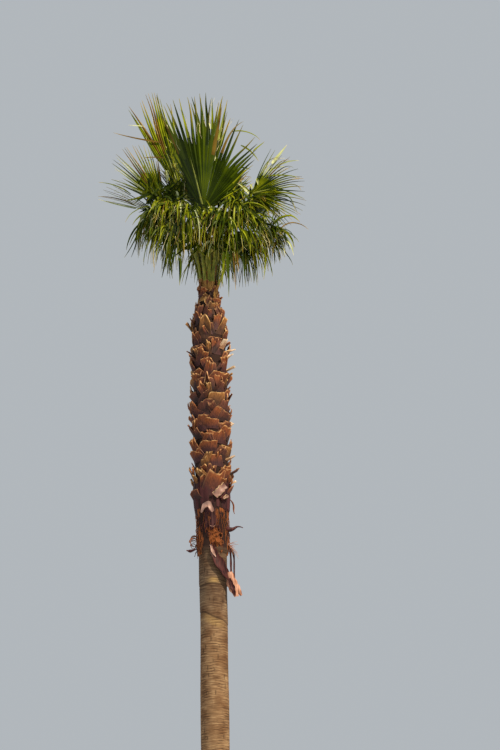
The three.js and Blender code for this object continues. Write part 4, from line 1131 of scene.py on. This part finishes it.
def stray_leaflets():
    """Single leaflets that stand apart from their fans in the view: place across, in depth and in
    height, lean from upright and bend in degrees, length, half width and skin."""
    rows = [
        (-0.65, 0.08, 11.81, -87, 12, 0.6, 0.013, 3), (-0.64, -0.09, 11.53, -85, -15, 0.27, 0.009, 3),
        (0.04, -0.49, 11.63, 75, 65, 0.39, 0.009, 2), (0.15, -0.36, 11.56, 118, 35, 0.32, 0.013, 2),
        (0.3, -0.41, 11.44, 50, 0, 0.18, 0.008, 2), (0.17, 0.11, 11.52, 95, 20, 0.12, 0.01, 0),
        (0.47, -0.12, 11.35, 60, 30, 0.2, 0.014, 4), (0.5, -0.17, 11.4, 40, -4, 0.3, 0.017, 4),
        (0.55, -0.12, 11.4, 58, 34, 0.28, 0.011, 4), (0.41, -0.12, 11.28, 80, 28, 0.42, 0.011, 2),
        (0.47, -0.12, 11.17, 105, 14, 0.36, 0.012, 0), (0.41, -0.12, 11.1, 120, 6, 0.3, 0.012, 1),
        (-0.89, -0.21, 10.7, -140, -34, 0.4, 0.01, 0), (0.41, -0.1, 10.59, 62, -8, 0.27, 0.011, 1),
        (-0.93, 0.1, 11.0, -82, 8, 0.47, 0.01, 4), (-0.93, 0.09, 11.01, -60, -32, 0.48, 0.009, 3),
        (-1.0, 0.0, 11.11, -50, -38, 0.42, 0.009, 2), (-0.9, 0.08, 12.02, -88, 0, 0.18, 0.006, 4),
        (-0.64, -0.02, 11.44, 178, 0, 0.2, 0.022, 4),
        (-0.67, 0.08, 12.05, 140, 10, 0.17, 0.024, 4), (-0.16, -0.67, 11.67, 172, 0, 0.1, 0.006, 4),
        (-0.08, -0.46, 11.39, 195, 0, 0.09, 0.006, 4), (0.35, -0.11, 11.28, 170, 0, 0.09, 0.015, 4),
        (0.28, -0.09, 11.22, 160, 0, 0.08, 0.014, 4), (-0.56, -0.42, 10.84, 168, 14, 0.3, 0.022, 4),
        (-0.5, -0.42, 10.8, 190, -12, 0.2, 0.02, 4), (-0.62, -0.42, 10.83, 200, 0, 0.18, 0.015, 2),
        (-0.66, -0.42, 10.72, 165, 20, 0.16, 0.014, 4), (-0.76, -0.42, 10.6, 175, 20, 0.2, 0.012, 2),
        (0.03, -0.77, 10.16, 176, 4, 0.4, 0.01, 1), (0.07, -0.74, 10.15, 174, -6, 0.33, 0.009, 0),
        (0.13, -0.73, 10.13, 170, 8, 0.28, 0.009, 3), (0.01, -0.81, 10.09, 186, -4, 0.27, 0.009, 1),
        (-0.44, -0.79, 10.03, 176, 10, 0.34, 0.009, 1), (-0.51, -0.73, 10.13, 184, 12, 0.3, 0.009, 0),
        (0.05, -0.74, 10.15, 178, 2, 0.6, 0.01, 1), (0.1, -0.73, 10.14, 175, 3, 0.5, 0.009, 3),
        (0.2, -0.7, 10.15, 176, 0, 0.42, 0.01, 0), (0.02, -0.76, 10.12, 184, 0, 0.46, 0.008, 2),
        (-0.46, -0.77, 10.05, 176, 4, 0.37, 0.009, 1), (-0.56, -0.7, 10.12, 184, 0, 0.3, 0.008, 0),
        (-0.93, -0.23, 10.56, 196, 14, 0.34, 0.005, 1), (-0.94, -0.1, 10.55, 190, 8, 0.24, 0.005, 0),
    ]
    # Short leaflets, each in a random place and way, close the crown between its fans: beside the
    # left fan, right of the front fan's foot, and hanging before the stalks.
    rng = np.random.default_rng(43)
    for low, high, count, hang in (((-0.86, -0.3, 10.86), (-0.5, 0.1, 11.2), 90, 0.6),
                                   ((0.0, -0.3, 10.86), (0.3, 0.1, 11.12), 50, 0.6),
                                   ((-0.34, -0.5, 10.36), (0.16, -0.3, 10.74), 150, 1)):
        for _ in range(count):
            x, y, z = rng.uniform(low, high)
            lean = rng.uniform(-60, 60) + (180 if rng.random() < hang else 0)
            pick = rng.choice(5, p=[0.46, 0.29, 0.18, 0.02, 0.05])
            bend, length, half = rng.uniform(-50, 50), rng.uniform(0.12, 0.3), rng.uniform(0.008, 0.018)
            rows.append((x, y, z, lean, bend, length, half, pick))
    facing = np.array([0.3, -1.0, 0.4])
    strips = []
    for x, y, z, lean, bend, length, half, pick in rows:
        a = np.radians(lean + bend * np.linspace(0, 1, 10))
        steps = np.stack([np.sin(a), np.full(10, -0.12), np.cos(a)], 1) * length / 10
        strips.append((np.array([x, y, z]) + np.cumsum(steps, axis=0), half, facing, pick))
    folded_strips("stray_leaflets", strips)


# A stalk cut across, grooved on top: shares of its half width and half thickness.
STALK_SECTION = np.array([(-1, 0.4), (-0.6, 0.62), (0, 0.45), (0.6, 0.62), (1, 0.4),
                          (0.8, -0.35), (0.4, -0.85), (0, -1), (-0.4, -0.85), (-0.8, -0.35)])


def stalk_frame(f):
    """The stalk's centre line, run on into the blade as its main rib, with its sideways and
    upward directions and its half width and half thickness."""
    rib = ribs(f, [0.0])[0]
    reach = 0.42 * f["split"] / 0.5
    inside = along_paths(rib[None], np.array([np.linspace(0.03, reach, 9)]))[0]
    path = np.concatenate([stalk_path(f, STALK_STEPS), inside])
    along = unit(np.gradient(path, axis=0))
    blade_side = blade_axes(f)[2]
    a = math.radians(f["turn"])
    across = np.array([-math.sin(a), math.cos(a), 0])
    across = across if across @ blade_side > 0 else -across
    share = np.linspace(0, 1, len(path))
    mix = smooth_step(0.5, 0.75, share)[:, None]
    side = across * (1 - mix) + blade_side * mix
    side = unit(side - (side * along).sum(-1, keepdims=True) * along)
    up = np.cross(side, along)
    wide = np.interp(share, [0, 0.12, 0.3, 0.74, 0.8, 1], [0.029, 0.023, 0.018, 0.013, 0.012, 0.0025])
    thick = np.interp(share, [0, 0.3, 0.74, 1], [0.016, 0.012, 0.009, 0.002])
    sink = np.interp(share, [0, 0.74, 0.8, 1], [0, 0, 0.008, 0.008])
    return path - up * sink[:, None], side, up, wide, thick


def leaf_stalks():
    """The stalks: brown at their foot, then green, and yellow-green as main ribs."""
    forms = []
    for f in FRONDS:
        path, side, up, wide, thick = stalk_frame(f)
        rings = (path[:, None] + (side * wide[:, None])[:, None] * STALK_SECTION[:, :1]
                 + (up * thick[:, None])[:, None] * STALK_SECTION[:, 1:])
        sides = len(STALK_SECTION)
        row = (np.arange(sides * (len(path) - 1) + 2) - 1) // sides
        forms.append((rings, np.where(row < 5, 2, np.where(row > STALK_STEPS - 3, 1, 0))))
    settle(mesh_piece(*closed_tubes(forms), [STALK, RIB, NECK], 50), "leaf_stalks", "frond")


def stalk_teeth():
    """Short hooked teeth along both edges of each stalk, from a hand's breadth above its foot."""
    tubes = []
    rng = np.random.default_rng(77)
    for f in FRONDS:
        path, side, up, wide, _ = stalk_frame(f)
        steps = np.linalg.norm(np.diff(path[:STALK_STEPS], axis=0), axis=1)
        run = np.concatenate([[0], np.cumsum(steps)])
        for distance in np.arange(0.22, run[-1] * 0.85, TOOTH_SPACING):
            i = int(np.searchsorted(run, distance))
            for edge in (-1, 1):
                root = path[i] + side[i] * edge * wide[i] * 0.93 + up[i] * 0.004
                back = unit(path[i] - path[i - 1]) * rng.uniform(-0.008, 0.002)
                tip = root + side[i] * edge * 0.011 + back
                tubes.append((np.array([root, (root + tip) / 2, tip]), [0.0035, 0.0022, 0.0004], 0))
    settle(joined_tubes(tubes, [NECK], 3), "stalk_teeth", "frond")


def leaf_threads():
    """Pale threads that curl from the splits between leaflets, nine to a fan."""
    tubes = []
    for n, f in enumerate(FRONDS):
        rng = np.random.default_rng(500 + n)
        at = rng.uniform(-0.95, 0.95, 9)
        paths = ribs(f, at, rng.uniform(0, 5, 9), 0.5)
        for path in paths:
            start = rng.uniform(0.45, 0.6)
            shares = np.linspace(start, start + rng.uniform(0.15, 0.4), 12)[None]
            line = along_paths(path[None], np.minimum(shares, 0.97))[0]
            t = np.linspace(0, 1, 12)[:, None]
            swirl = rng.uniform(-0.05, 0.05, 3) * t
            swirl = swirl + 0.02 * np.sin(t * rng.uniform(4, 11) + rng.uniform(0, 6)) * t
            tubes.append((line + swirl, np.linspace(0.0024, 0.0008, 12), 0))
    settle(joined_tubes(tubes, [THREAD], 3), "leaf_threads", "frond")


# The stage.

def look_on():
    """The camera, set as the photograph's was."""
    data = bpy.data.cameras.new("camera")
    data.sensor_fit = "VERTICAL"
    data.angle = math.radians(FIELD_OF_VIEW)
    camera = bpy.data.objects.new("camera", data)
    camera.location = EYE
    camera.rotation_euler = (math.radians(90 + LOOK_UP), 0, 0)
    bpy.context.scene.collection.objects.link(camera)
    bpy.context.scene.camera = camera


def area_light(name, place, target, size, power, tint):
    """A round lamp at a place, aimed at its target."""
    data = bpy.data.lights.new(name, "AREA")
    data.shape = "DISK"
    data.size = size
    data.energy = power
    data.color = colour(tint)[:3]
    lamp = bpy.data.objects.new(name, data)
    lamp.location = place
    aim = np.array(target, float) - np.array(place, float)
    lamp.rotation_euler = (math.acos(-aim[2] / np.linalg.norm(aim)), 0, math.atan2(-aim[0], aim[1]))
    bpy.context.scene.collection.objects.link(lamp)


def studio():
    """A pale floor, soft light all round, a warm key light from above and a weak cool fill."""
    select()
    bpy.ops.mesh.primitive_plane_add(size=120)
    floor = bpy.context.object
    floor.name = "floor"
    made, _, shader = finish_named("pale_floor", 0.9, 0.2)
    shader.inputs["Base Color"].default_value = colour("#d8d6d0")
    floor.data.materials.append(made)
    world = bpy.data.worlds.new("soft_studio")
    world.use_nodes = True
    back = world.node_tree.nodes["Background"]
    back.inputs["Color"].default_value = colour("#dfe6ec")
    back.inputs["Strength"].default_value = 0.6
    bpy.context.scene.world = world
    bpy.context.scene.view_settings.view_transform = "Standard"
    area_light("key", (9, -10, 20), (0, 0, 9), 1.6, 5200, "#fff0d8")
    area_light("fill", (-9, -14, 6), (0, 0, 9), 6.0, 400, "#e9f1ff")


look_on()
studio()
ringed_trunk()
leaf_base_sleeve()
worn_leaf_bases()
leaf_base_splinters()
marked_leaf_bases()
neck_sheaths()
old_sheaths()
pale_sheaths()
fibre_mat()
loose_fibres()
cut_knot()
torn_leaf_base()
dry_horn()
flat_scrap()
for number, frond in enumerate(FRONDS):
    fan(frond, 900 + number)
curled_strips()
stray_leaflets()
leaf_stalks()
stalk_teeth()
leaf_threads()
